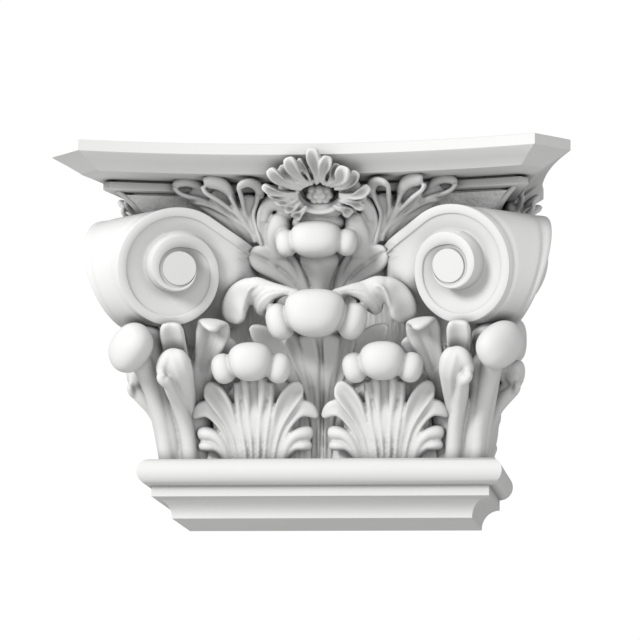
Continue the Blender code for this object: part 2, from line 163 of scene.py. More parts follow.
@dataclass(frozen=True)
class Neck:
    """Sizes of the shaft end and the mouldings on it, in metres."""

    shaft_half: float = 0.1252
    shaft_forward: float = 0.0965
    foot: float = 0.0008
    cove_rise: float = 0.0168
    cove_projection: float = 0.0151
    fillet_height: float = 0.0087
    torus_radius: float = 0.0112
    arris: float = 0.0005
    steps: int = 16

    @property
    def torus_base(self) -> float:
        """Height of the torus's underside."""
        return self.cove_rise + self.fillet_height

    @property
    def top(self) -> float:
        """Height of the torus's upper edge, where the leaves stand."""
        return self.torus_base + 2 * self.torus_radius

    def profile(self) -> Outline:
        """The moulding from the shaft up.

        Returns:
            Points of projection and height.
        """
        points = [(0.0, 0.0), (0.0, self.foot)]
        for step in range(1, self.steps + 1):
            turn = math.pi / 2 * step / self.steps
            rise = self.foot + (self.cove_rise - self.foot) * math.sin(turn)
            points.append((self.cove_projection * (1 - math.cos(turn)), rise))
        points.append((self.cove_projection, self.cove_rise + self.arris))
        points.append((self.cove_projection, self.torus_base - self.arris))
        for step in range(self.steps + 1):
            turn = math.pi * step / self.steps
            out = self.cove_projection + self.torus_radius * math.sin(turn)
            points.append((out, self.torus_base + self.torus_radius * (1 - math.cos(turn))))
        return points


@dataclass(frozen=True)
class Shell:
    """Sizes of the bell behind the leaves, in metres."""

    half: float = 0.128
    forward: float = 0.098
    flare_start: float = 0.100
    flare_power: float = 2.2
    spread_power: float = 2.5
    front_flare: float = 0.042
    flank_flare: float = 0.015
    corner_cut: float = 0.006
    top: float = 0.2646
    steps: int = 40

    def flare(self, up: float) -> float:
        """How far the bell has opened at a height, from 0 at its foot to 1 under the lip."""
        share = (up - self.flare_start) / (self.top - self.flare_start)
        return max(share, 0.0) ** self.flare_power

    def spread(self, up: float) -> float:
        """How far the bell's corners have opened at a height: later than its faces."""
        return self.flare(up) ** self.spread_power

    def front(self, up: float) -> float:
        """Distance of the bell's front from the wall."""
        return self.forward + self.front_flare * self.flare(up)

    def flank(self, up: float) -> float:
        """Half width of the bell."""
        return self.half + self.flank_flare * self.flare(up)


@dataclass(frozen=True)
class Slab:
    """Sizes of the abacus and the lip under it, in metres.

    bulge is the share of the bevel's inset and of its corner that is left at half its height.
    """

    lip_front: float = 0.148
    lip_flank: float = 0.152
    lip_cut: float = 0.009
    lip_height: float = 0.0085
    quirk: float = 0.0022
    quirk_depth: float = 0.004
    face_height: float = 0.0094
    bevel_height: float = 0.0125
    bevel_inset: float = 0.018
    bulge: float = 0.55
    front: float = 0.2013
    flank: float = 0.177
    bow_radius: float = 0.579
    corner_cut: float = 0.044
    soffit_cut: float = 0.026
    arris: float = 0.0009

    @property
    def bow(self) -> float:
        """Sagitta factor of the hollow sides."""
        return 0.5 / self.bow_radius


@dataclass(frozen=True)
class Layout:
    """Where things are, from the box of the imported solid, in metres."""

    wall: float
    top: float
    neck: Neck = field(default_factory=Neck)
    shell: Shell = field(default_factory=Shell)
    slab: Slab = field(default_factory=Slab)
    flank_axis: float = -0.008

    @classmethod
    def from_frame(cls) -> Layout:
        """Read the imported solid's box.

        Returns:
            The layout that every piece is placed by.
        """
        low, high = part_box(NODE)
        return cls(wall=high[1], top=high[2])

    def at(self, across: float, forward: float, up: float) -> Vector:
        """A point from its distance along the wall, out from the wall, and up."""
        return Vector((across, self.wall - forward, up))

    def at_mm(self, across: float, forward: float, up: float) -> Vector:
        """The same from distances in millimetres."""
        return self.at(across * MM, forward * MM, up * MM)


@dataclass(frozen=True)
class Face:
    """One face of the capital, as a leaf on it is placed.

    sign is 1 on the right of the capital and -1 on the left. axis is the leaf's own middle, in
    millimetres from the face's middle, and relief the share of the front's relief on a flank.
    """

    layout: Layout
    side: Side
    sign: int
    axis: float = 0.0
    relief: float = 0.45

    @property
    def outward(self) -> Vector:
        """The way that the face looks."""
        return Vector((0, -1, 0)) if self.side is Side.FRONT else Vector((self.sign, 0, 0))

    @property
    def level(self) -> Vector:
        """The level way along the face."""
        return ACROSS if self.side is Side.FRONT else Vector((0, 1, 0))

    def hand(self, half: int) -> int:
        """Which way things lean on a half of the face, 1 or -1."""
        return self.sign * half if self.side is Side.FRONT else -half

    def place(self, cut: Cut, half: int = 1) -> Vector:
        """Put a station in space.

        Args:
            cut: The station.
            half: 1 for the half of the leaf that is drawn, -1 for its mirror image.

        Returns:
            The point, in metres.
        """
        layout, shell = self.layout, self.layout.shell
        up = layout.neck.top + cut.up * MM
        across = (self.axis + half * cut.across) * MM
        if self.side is Side.FRONT:
            return layout.at(self.sign * across, shell.front(up) + cut.out * MM, up)
        out = self.relief * cut.out * MM
        return layout.at(self.sign * (shell.flank(up) + out), layout.flank_axis + across, up)


def corner_of(front: float, side: float, bow: float) -> Pair:
    """Find the point where a bowed front and a bowed side meet.

    Args:
        front: Forward distance of the front's middle.
        side: Half width at the wall.
        bow: Sagitta factor of both.

    Returns:
        The corner's across and forward.
    """
    across, forward = side, front
    for _ in range(CORNER_ROUNDS):
        across, forward = side + bow * forward**2, front + bow * across**2
    return across, forward


def half_outline(front: float, side: float, bow: float, cut: float, steps: int = 24) -> Outline:
    """Half a plan outline.

    Args:
        front: Forward distance of the front's middle.
        side: Half width at the wall.
        bow: Sagitta factor of the sides.
        cut: How much the corner is cut off.
        steps: Segments along the front, twice as many as along the side.

    Returns:
        Points of across and forward, from the front's middle to the wall.
    """
    across, forward = corner_of(front, side, bow)
    front_end = across - cut
    side_end = forward - cut
    points = []
    for step in range(steps + 1):
        x = front_end * step / steps
        points.append((x, front + bow * x * x))
    for step in range(steps // 2 + 1):
        q = side_end * (1 - step / (steps // 2))
        points.append((side + bow * q * q, q))
    return points


def stack(layout: Layout, levels: Sequence[tuple[float, Outline]]) -> bmesh.types.BMesh:
    """Grow a solid through plan outlines, one above the other.

    Args:
        layout: Puts the outlines in space.
        levels: Heights with half an outline each.

    Returns:
        The solid.
    """
    mesh = bmesh.new()
    face = None
    for up, half in levels:
        ring = [(-x, q) for x, q in reversed(half)] + half[1:]
        points = [layout.at(x, q, up) for x, q in ring]
        if face is None:
            foot = face = mesh.faces.new([mesh.verts.new(point) for point in points])
            continue
        grown = bmesh.ops.extrude_face_region(mesh, geom=[face])["geom"]
        top = [item for item in grown if isinstance(item, bmesh.types.BMFace)][0]
        for vert, point in zip(top.verts, points):
            vert.co = point
        if face is not foot:
            bmesh.ops.delete(mesh, geom=[face], context="FACES_ONLY")
        face = top
    bmesh.ops.remove_doubles(mesh, verts=mesh.verts[:], dist=WELD)
    bmesh.ops.recalc_face_normals(mesh, faces=mesh.faces[:])
    return mesh


def new_object(name: str, data: bpy.types.ID) -> bpy.types.Object:
    """Make an object and put it in the scene.

    Args:
        name: Its name.
        data: What it holds.

    Returns:
        The object.
    """
    item = bpy.data.objects.new(name, data)
    bpy.context.scene.collection.objects.link(item)
    return item


def as_piece(mesh: bmesh.types.BMesh, name: str, sharp: float = 40.0) -> bpy.types.Object:
    """Make an object from a finished mesh.

    Args:
        mesh: The mesh, which is freed.
        name: The piece's name.
        sharp: Angle over which an edge stays sharp, in degrees.

    Returns:
        The object.
    """
    data = bpy.data.meshes.new(name)
    mesh.to_mesh(data)
    mesh.free()
    data.shade_smooth()
    data.set_sharp_from_angle(angle=math.radians(sharp))
    return new_object(name, data)


@dataclass(frozen=True)
class Front:
    """The section of a lobe, which is round at the back and scooped or ribbed at the front.

    midrib is the depth of a groove along the middle and rib the height of the raised ribs, as
    shares of the lobe's depth.
    """

    midrib: float = 0.0
    ribs: int = 0
    rib: float = 0.0
    midrib_width: float = 0.1
    scoop: float = 1.15
    scoop_edge: float = 2.2
    scoop_floor: float = 0.42
    back: float = 0.7

    def rise(self, across: float, out: float, hollow: float) -> float:
        """Height of the section at a point round it.

        Args:
            across: The point's place over the width, from -1 to 1.
            out: Its place over the depth, from -1 at the back to 1 at the front.
            hollow: How far the front is scooped.

        Returns:
            The height, as a share of the depth.
        """
        if out <= 0:
            return self.back * out
        scoop = self.scoop * out * (self.scoop_edge * across * across - self.scoop_floor)
        rise = out * (1 - hollow) + hollow * scoop
        rise -= self.midrib * math.exp(-((across / self.midrib_width) ** 2))
        if self.ribs:
            rise += self.rib * out * math.cos(math.pi * self.ribs * across)
        return rise


PLAIN = Front()


def plump(share: float, root: float, tip: float) -> float:
    """How full a lobe is at a share of its length.

    Args:
        share: The share, from 0 at the root to 1 at the tip.
        root: The share over which the root is rounded.
        tip: The share over which the tip is rounded.

    Returns:
        The fullness, from 0 to 1.
    """
    if share > 1 - tip:
        return math.sqrt(max(0.0, 1 - ((share - 1 + tip) / tip) ** 2))
    if share < root:
        return math.sqrt(max(0.0, 1 - ((root - share) / root) ** 2))
    return 1.0


def frames_along(centres: Sequence[Vector], outward: Vector) -> list[tuple[Vector, Vector]]:
    """Carry a frame along a path without a twist.

    Args:
        centres: Points of the path.
        outward: The way that the section's front looks at the root.

    Returns:
        The section's sideward and frontward directions at each point.
    """
    last = len(centres) - 1
    tangents = []
    for index in range(last + 1):
        ahead, behind = centres[min(index + 1, last)], centres[max(index - 1, 0)]
        tangents.append((ahead - behind).normalized())
    aside = tangents[0].cross(outward).normalized()
    sides = [aside]
    for before, after in zip(tangents, tangents[1:]):
        aside = before.rotation_difference(after) @ aside
        sides.append(aside)
    return [(aside, aside.cross(tangent)) for aside, tangent in zip(sides, tangents)]


def cut_at_wall(skin: bpy.types.Mesh, wall: float) -> None:
    """Cut a skin flat at the wall and close it there.

    Args:
        skin: The mesh.
        wall: The wall's place.
    """
    mesh = bmesh.new()
    mesh.from_mesh(skin)
    bmesh.ops.bisect_plane(
        mesh,
        geom=mesh.verts[:] + mesh.edges[:] + mesh.faces[:],
        plane_co=(0, wall, 0),
        plane_no=(0, 1, 0),
        clear_outer=True,
    )
    rim = [edge for edge in mesh.edges if edge.is_boundary]
    if rim:
        bmesh.ops.holes_fill(mesh, edges=rim)
    bmesh.ops.triangulate(mesh, faces=[face for face in mesh.faces if len(face.verts) > 4])
    mesh.to_mesh(skin)
    mesh.free()


class Clay:
    """A lump of overlapping closed shapes that is melted into one skin."""

    TIP_LIMIT = 0.5
    ROOT_LIMIT = 0.2
    KNOB_SEGMENTS = (36, 24)
    WALL_GAP = 0.0002
    SOFTENING = 0.5

    def __init__(self, name: str, cell: float = 1.0) -> None:
        """Start a piece.

        Args:
            name: The finished piece's name.
            cell: Fineness of the skin, in millimetres.
        """
        self.name = name
        self.cell = cell
        self.mesh = bmesh.new()

    def ball(self, segments: int, rings: int) -> list[bmesh.types.BMVert]:
        """Add a ball of radius 1, to be shaped.

        Args:
            segments: Steps round it.
            rings: Steps from pole to pole.

        Returns:
            Its vertices.
        """
        made = bmesh.ops.create_uvsphere(
            self.mesh, u_segments=segments, v_segments=rings, radius=1.0
        )
        return made["verts"]

    def lobe(
        self,
        cuts: Path,
        place: Place,
        outward: Vector,
        front: Front = PLAIN,
        rings: int = 30,
        sides: int = 28,
    ) -> None:
        """Sweep a section along a path.

        Args:
            cuts: Stations from the root to the tip.
            place: Puts a station in space.
            outward: The way that the section's front looks.
            front: The section.
            rings: Steps along the path.
            sides: Steps round the section.
        """
        rows = [[*place(cut), cut.width, cut.depth, cut.hollow] for cut in cuts]
        shares = [0.5 - 0.5 * math.cos(math.pi * ring / rings) for ring in range(rings + 1)]
        fine = [along(rows, share) for share in shares]
        centres = [Vector(row[:3]) for row in fine]
        frames = frames_along(centres, outward)
        length = sum((b - a).length for a, b in zip(centres, centres[1:]))
        tip = min(self.TIP_LIMIT, fine[-1][3] * MM / length)
        root = min(self.ROOT_LIMIT, 0.5 * fine[0][3] * MM / length)
        for vert in self.ball(sides, rings):
            x, y, z = vert.co
            ring = round(math.acos(clamp(-z, -1.0, 1.0)) / math.pi * rings)
            width, depth, hollow = fine[ring][3:]
            aside, forth = frames[ring]
            angle = math.atan2(y, x)
            c, s = math.cos(angle), math.sin(angle)
            offset = aside * (c * width) + forth * (front.rise(c, s, hollow) * depth)
            vert.co = centres[ring] + offset * (plump((1 + z) / 2, root, tip) * MM)

    def lobes(
        self, paths: Sequence[Path], face: Face, half: int = 1, front: Front = PLAIN
    ) -> None:
        """Sweep lobes on one half of a leaf.

        Args:
            paths: Their stations.
            face: The face that the leaf is on.
            half: 1 for the half that is drawn, -1 for its mirror image.
            front: Their section.
        """
        for cuts in paths:
            self.lobe(cuts, lambda cut: face.place(cut, half), face.outward, front)

    def boss(self, centre: Vector, level: Vector, knob: Knob, hand: int = 1) -> None:
        """Add an egg-shaped boss.

        Args:
            centre: Its middle, in space.
            level: The level direction of its width.
            knob: Its shape.
            hand: Which way it leans, 1 or -1.
        """
        outward = Vector((level.y, -level.x, 0.0))
        spin = Matrix.Rotation(math.radians(knob.lean * hand), 3, outward)
        width, depth, height = knob.size
        for vert in self.ball(*self.KNOB_SEGMENTS):
            full = sum(abs(value) ** knob.power for value in vert.co) ** (-1 / knob.power)
            x, y, z = vert.co * full
            x *= 1 + knob.taper * z
            local = level * (width * x) + outward * (depth * y) + Vector((0, 0, height * z))
            vert.co = centre + (spin @ local) * MM

    def tip(self, knob: Knob, face: Face, half: int = 1) -> None:
        """Add a leaf's knob on one half of a face, leaning as that half does."""
        self.boss(face.place(knob.at, half), face.level, knob, face.hand(half))

    def piece(self, layout: Layout, smooth: int = 3) -> bpy.types.Object:
        """Melt the lump, cut it at the wall and make it a piece.

        Args:
            layout: Gives the wall plane.
            smooth: Rounds of smoothing over the melted skin.

        Returns:
            The finished object.
        """
        bmesh.ops.recalc_face_normals(self.mesh, faces=self.mesh.faces[:])
        data = bpy.data.meshes.new(self.name)
        self.mesh.to_mesh(data)
        self.mesh.free()
        item = new_object(self.name, data)
        melt = item.modifiers.new("melt", "REMESH")
        melt.mode = "VOXEL"
        melt.voxel_size = self.cell * MM
        soften = item.modifiers.new("soften", "SMOOTH")
        soften.factor = self.SOFTENING
        soften.iterations = smooth
        graph = bpy.context.evaluated_depsgraph_get()
        skin = bpy.data.meshes.new_from_object(item.evaluated_get(graph))
        item.modifiers.clear()
        item.data = skin
        bpy.data.meshes.remove(data)
        skin.name = self.name
        cut_at_wall(skin, layout.wall - self.WALL_GAP)
        skin.shade_smooth()
        return item


@dataclass(frozen=True)
class Plaster:
    """Matt white cast plaster in clouds of two tones, with a fine grain.

    tight and broad are how much painted shade darkens hollows found within near and far metres.
    Heights are in metres, and comb stretches the streaks of a combed surface upright.
    """

    tone: tuple[float, float, float, float] = (0.68, 0.68, 0.675, 1.0)
    light: tuple[float, float, float, float] = (0.74, 0.74, 0.735, 1.0)
    roughness: float = 0.62
    mottle: float = 0.12
    specular: float = 0.3
    cloud: float = 9.0
    grain: float = 900.0
    grain_height: float = 0.00001
    tight: float = 0.58
    broad: float = 0.34
    near: float = 0.009
    far: float = 0.045
    streaks: float = 0.0
    comb: Triple = (240.0, 240.0, 10.0)

    def material(self, name: str) -> bpy.types.Material:
        """Build the material.

        Args:
            name: Its name.

        Returns:
            The plaster.
        """
        made = bpy.data.materials.new(name)
        made.use_nodes = True
        nodes = Nodes(made.node_tree)
        place = nodes.add("ShaderNodeTexCoord", "Object")
        clouds = nodes.noise(place, self.cloud, detail=4.0)
        mix = {"Factor": clouds, "A": self.tone, "B": self.light}
        tone = nodes.add("ShaderNodeMix", "Result", mix, {"data_type": "RGBA"})
        # Painted shade: ambient occlusion darkens the base colour in hollows, creases and under
        # overhangs.
        close, wide = nodes.openness(self.near), nodes.openness(self.far)
        open_air = close * self.tight + wide * self.broad + (1 - self.tight - self.broad)
        shade = {"Vector": tone, "Scale": open_air}
        painted_shade = nodes.add("ShaderNodeVectorMath", "Vector", shade, {"operation": "SCALE"})
        matt = clouds * self.mottle + (self.roughness - 0.5 * self.mottle)
        height = nodes.noise(place, self.grain, detail=2.0) * self.grain_height
        if self.streaks:
            combed = {"Vector": place, "Scale": self.comb}
            stretch = nodes.add("ShaderNodeMapping", "Vector", combed)
            height = height + nodes.noise(stretch, 1.0, detail=2.0) * self.streaks
        relief = {"Height": height, "Strength": 1.0, "Distance": 1.0}
        bump = nodes.add("ShaderNodeBump", "Normal", relief)
        shader = made.node_tree.nodes["Principled BSDF"]
        nodes.feed(shader, {"Base Color": painted_shade, "Roughness": matt, "Normal": bump})
        nodes.feed(shader, {"Metallic": 0.0, "Specular IOR Level": self.specular})
        return made


class Value:
    """A socket that can be reckoned with as a number."""

    def __init__(self, nodes: Nodes, socket: bpy.types.NodeSocket) -> None:
        """Wrap an output socket."""
        self.nodes = nodes
        self.socket = socket

    def _math(self, operation: str, other: Value | float, swap: bool = False) -> Value:
        """Add a Math node.

        Args:
            operation: The node's operation.
            other: The second term.
            swap: Puts the second term first.

        Returns:
            The result.
        """
        terms = [other, self] if swap else [self, other]
        settings = {"operation": operation}
        return self.nodes.add("ShaderNodeMath", "Value", dict(enumerate(terms)), settings)

    def __add__(self, other: Value | float) -> Value:
        """Add."""
        return self._math("ADD", other)

    def __mul__(self, other: Value | float) -> Value:
        """Multiply."""
        return self._math("MULTIPLY", other)

    def __rsub__(self, other: float) -> Value:
        """Subtract from a number."""
        return self._math("SUBTRACT", other, swap=True)

    __radd__ = __add__
    __rmul__ = __mul__


class Nodes:
    """Adds nodes to one material."""

    def __init__(self, tree: bpy.types.NodeTree) -> None:
        """Wrap a node tree."""
        self.tree = tree

    def add(
        self, kind: str, out: str, inputs: dict | None = None, settings: dict | None = None
    ) -> Value:
        """Add a node.

        Args:
            kind: The node's type.
            out: Name of the output that is wanted.
            inputs: Values or links by socket name or number.
            settings: The node's own settings.

        Returns:
            That output.
        """
        node = self.tree.nodes.new(kind)
        for name, value in (settings or {}).items():
            setattr(node, name, value)
        self.feed(node, inputs or {})
        found = [socket for socket in node.outputs if socket.name == out and socket.enabled]
        return Value(self, found[0])

    def noise(self, vector: Value, scale: float, detail: float) -> Value:
        """Add cloudy noise over some coordinates."""
        inputs = {"Vector": vector, "Scale": scale, "Detail": detail}
        return self.add("ShaderNodeTexNoise", "Fac", inputs)

    def openness(self, reach: float) -> Value:
        """Add how open a point is, from 0 in a narrow hollow, as seen within a reach in metres."""
        return self.add("ShaderNodeAmbientOcclusion", "AO", {"Distance": reach}, {"samples": 8})

    def feed(self, node: bpy.types.Node, inputs: dict) -> None:
        """Set or link a node's inputs.

        Args:
            node: The node.
            inputs: Values or links by socket name or number.
        """
        for name, value in inputs.items():
            if isinstance(name, int):
                socket = node.inputs[name]
            else:
                socket = [item for item in node.inputs if item.name == name and item.enabled][0]
            if isinstance(value, Value):
                self.tree.links.new(value.socket, socket)
            else:
                socket.default_value = value


@dataclass(frozen=True)
class LowerLeaf:
    """The short fluted leaf: pairs of scooped side lobes, ribs and a curled tip of three knobs."""

    axis: float = 54.5
    body: Path = path(
        (0, -8, -4, 22, 9), (0, 8, 0, 28, 9), (0, 24, 5, 35, 11), (0, 37, 8, 36, 11),
        (0, 50, 10, 27, 9), (0, 63, 16, 17, 8), (0, 75, 26, 13, 8),
    )
    rib: Path = path(
        (2.3, -8, 5, 2, 4), (3.3, 17, 11, 2.4, 4.5), (5.2, 38, 16, 3.1, 4.5),
        (6.8, 54, 21, 3.8, 4.5), (7, 68, 28, 4, 5),
    )
    second_rib: Path = path(
        (7, -8, 5, 2, 4), (9.2, 15, 10, 2.4, 4.5), (12.4, 34, 15, 2.8, 4.5),
        (14.2, 50, 17.5, 3.4, 4.5), (13.8, 64, 22.5, 3.4, 4.5),
    )
    upper: Path = path(
        (12, -8, 4, 3.2, 5, 0.3), (15.4, 14, 9, 4, 6, 0.4), (19.5, 28, 13, 5.4, 6.5, 0.4),
        (25, 41, 19, 8, 7, 0.65), (31.5, 51, 22.5, 9, 7, 0.7), (36.5, 56.5, 23, 7.8, 6, 0.5),
        (40, 58.5, 21, 3.6, 3.6),
    )
    middle: Path = path(
        (17, -8, 3, 2.6, 5, 0.2), (20, 11, 8, 3, 5.5, 0.4), (25, 25, 12, 4.6, 6, 0.4),
        (32, 36.5, 16, 6.4, 6.5, 0.4), (39.5, 41.5, 18, 7.2, 6, 0.3), (46.5, 39.5, 16, 6, 5, 0.2),
        (52, 34.5, 12.5, 2.4, 3),
    )
    low_over: Path = path(
        (21.5, -8, 2, 2.6, 5), (26, 9, 8, 4, 5), (33, 18.5, 11, 5, 5.5), (41, 21.5, 10, 6, 6),
        (47.5, 21.5, 7, 5.4, 5),
    )
    low_under: Path = path(
        (22, -8, 0, 2.5, 5), (27, 4, 5, 3, 5), (33, 10, 8, 3.4, 5), (40, 11.5, 9, 4.6, 5.5),
        (46.5, 11.5, 6, 3.8, 4.5),
    )
    front_knobs: tuple[Knob, Knob] = (
        Knob(Cut(23.2, 71.8, 38), (9.9, 10.5, 12.6), lean=-14),
        Knob(Cut(0, 76.8, 42), (18.6, 15.5, 16.0), taper=0.1),
    )
    flank_knobs: tuple[Knob, Knob] = (
        Knob(Cut(23.2, 71.8, 38), (9.6, 5.0, 12.2), lean=-14),
        Knob(Cut(0, 76.8, 42), (17.5, 8.0, 15.5), taper=0.1),
    )

    def carve(self, clay: Clay, face: Face) -> None:
        """Add the leaf to a piece.

        Args:
            clay: The piece.
            face: The face that the leaf is on.
        """
        face = replace(face, axis=self.axis)
        side, middle = self.front_knobs if face.side is Side.FRONT else self.flank_knobs
        halved = (self.rib, self.second_rib, self.upper, self.middle, self.low_over, self.low_under)
        for half in (-1, 1):
            clay.lobes(halved, face, half)
            clay.tip(side, face, half)
        clay.lobes((self.body,), face)
        clay.tip(middle, face)


@dataclass(frozen=True)
class MiddleLeaf:
    """The tall leaf on a face's middle, from its stalk to the upper knobs, with its wings."""

    body: Path = path(
        (0, -8, -10, 9, 8), (0, 40, -8, 10, 8), (0, 70, -2, 13, 8), (0, 92, 1, 19, 9),
        (0, 108, 16, 18, 10), (0, 114, 42, 14, 8),
    )
    inner_rib: Path = path(
        (2.8, -8, -4, 2.2, 5), (3.2, 30, -2, 2.6, 5), (4.8, 60, 2, 3.8, 5), (8, 85, 9, 6.6, 5, 0.3),
        (10.5, 102, 24, 8, 5, 0.3),
    )
    outer_rib: Path = path(
        (7.5, -8, -4, 2.4, 4), (8, 30, -2, 2.8, 5), (11.5, 58, 2, 3.8, 5, 0.4),
        (18.5, 82, 7, 6, 6, 0.6), (24.5, 102, 19, 8, 6, 0.6),
    )
    behind: Path = path(
        (13, 58, -4, 8, 6), (27, 80, 6, 11, 6, 0.3), (39, 94, 16, 11.5, 5, 0.45),
        (50, 103, 23, 8.5, 4, 0.4), (57, 108.5, 26, 2.4, 2.4),
    )
    web: Path = path(
        (0, 118, -6, 16, 8), (0, 140, -5, 24, 8), (0, 158, -2, 32, 8), (0, 176, 2, 38, 8),
    )
    band: Path = path(
        (14, 133.5, 38, 2.5, 3), (28, 136, 39, 3.4, 3.6), (40, 138, 37, 5.4, 4),
        (50, 140, 36, 7, 4.5), (58, 139, 34, 7, 4),
    )
    tongue: Path = path(
        (46, 139, 33, 6, 4.5), (57, 139.5, 33, 7.5, 5), (64.5, 134, 31, 10.5, 5.5, 0.3),
        (69, 126, 29, 12, 6, 0.4), (70.5, 118, 26.5, 11.8, 5.5, 0.4), (71, 110.5, 24, 9, 4, 0.2),
    )
    tongue_edge: Path = path(
        (49, 138.5, 39, 2, 3), (54.5, 136.5, 39, 2, 4), (57.5, 130, 36, 2, 5),
        (59.5, 123, 32.5, 2, 5), (62.5, 117, 29, 1.6, 3),
    )
    inner_tip: Path = path(
        (14, 131.5, 46, 2.4, 3), (26, 134, 43, 4.4, 4), (36.5, 134, 40, 7.6, 5),
        (43.5, 130.5, 36, 9.4, 6), (47.5, 125, 29, 8.6, 6), (47.5, 119.5, 22, 5, 4),
    )
    fold: Path = path(
        (34, 137, 36, 5, 5), (46, 136.5, 36, 6, 6), (51.5, 133, 33, 4.6, 6), (51, 126, 27, 3.4, 5),
    )
    rim: Path = path(
        (14, 129.5, 49, 1.5, 2), (24, 131, 45, 1.4, 2), (31.5, 129, 39, 1.4, 2),
        (37, 124.5, 31, 1.4, 2), (43, 119.5, 23, 1.3, 1.8),
    )
    lance: Path = path(
        (13, 134, 0, 5, 5), (23, 148, 5, 8, 5, 0.2), (34, 157.5, 10, 11.2, 5, 0.4),
        (45, 163.5, 14, 12, 5, 0.4), (52.5, 167, 17, 9.6, 4, 0.3), (58, 169.5, 18.5, 4.4, 2.6),
    )
    lance_back: Path = path(
        (9, 134, -1, 4, 5), (15, 149, 2, 5, 5), (22, 161, 5, 5.5, 5, 0.3),
        (31, 172, 8, 4.5, 4, 0.3),
    )
    cup: Path = path(
        (0, 122, 0, 6, 8), (0, 140, 3, 7, 9), (0, 152, 7, 10.5, 9), (0, 163, 12, 16.5, 10),
        (0, 172, 18, 17, 10),
    )
    swirl_band: Path = path(
        (38, 160, 4, 4.5, 4), (43.5, 175, 11, 5.6, 4.5), (46, 190, 15, 5.4, 4.5, 0.3),
        (44, 202, 18, 4.8, 4, 0.3), (38, 209.5, 19, 3.2, 3),
    )
    swirl_lobe: Path = path(
        (33, 166, 9, 8, 5), (33.5, 178, 15, 10.5, 6), (31.5, 189, 19, 9.5, 6),
        (31, 199.5, 19, 5.4, 4),
    )
    swirl_floor: Path = path(
        (38, 160, 6, 7, 5), (39, 170, 11, 8, 5), (38.5, 181, 12, 5, 4), (38, 191, 11, 4.5, 4),
        (37, 200, 12, 4.5, 4),
    )
    swirl_top: Path = path(
        (45, 194, 14, 5, 5), (42, 204, 16, 6.5, 5), (35, 208, 17, 7, 6), (27, 205, 16, 7, 6),
        (22, 196, 14, 5, 5),
    )
    side_knobs: tuple[Knob, ...] = (
        Knob(Cut(29.9, 109.5, 42), (11.6, 13, 15.6), lean=-16),
        Knob(Cut(25.0, 174.5, 28), (8.8, 10, 11.4), lean=-8),
    )
    middle_knobs: tuple[Knob, ...] = (
        Knob(Cut(0, 114.8, 51), (24.4, 17.5, 19.6), taper=0.13, power=2.5),
        Knob(Cut(0, 177, 30), (21.4, 15.5, 15.4), taper=0.05, power=2.5),
    )
    flank_flat: float = 0.6

    def carve(self, clay: Clay, face: Face, halves: tuple[int, ...]) -> None:
        """Add the leaf to a piece.

        Args:
            clay: The piece.
            face: The face that the leaf is on.
            halves: Which halves of the leaf are carved.
        """
        flat = 1.0 if face.side is Side.FRONT else self.flank_flat
        halved = (self.inner_rib, self.outer_rib, self.behind, self.band, self.tongue)
        halved += (self.tongue_edge, self.fold, self.rim, self.lance_back)
        halved += (self.swirl_band, self.swirl_lobe, self.swirl_floor, self.swirl_top)
        for half in halves:
            clay.lobes(halved, face, half)
            clay.lobes((self.inner_tip,), face, half, Front(ribs=4, rib=0.16))
            clay.lobes((self.lance,), face, half, Front(midrib=0.5))
            for knob in self.side_knobs:
                clay.tip(knob.flattened(flat), face, half)
        clay.lobes((self.body, self.cup, self.web), face)
        for knob in self.middle_knobs:
            clay.tip(knob.flattened(flat), face)


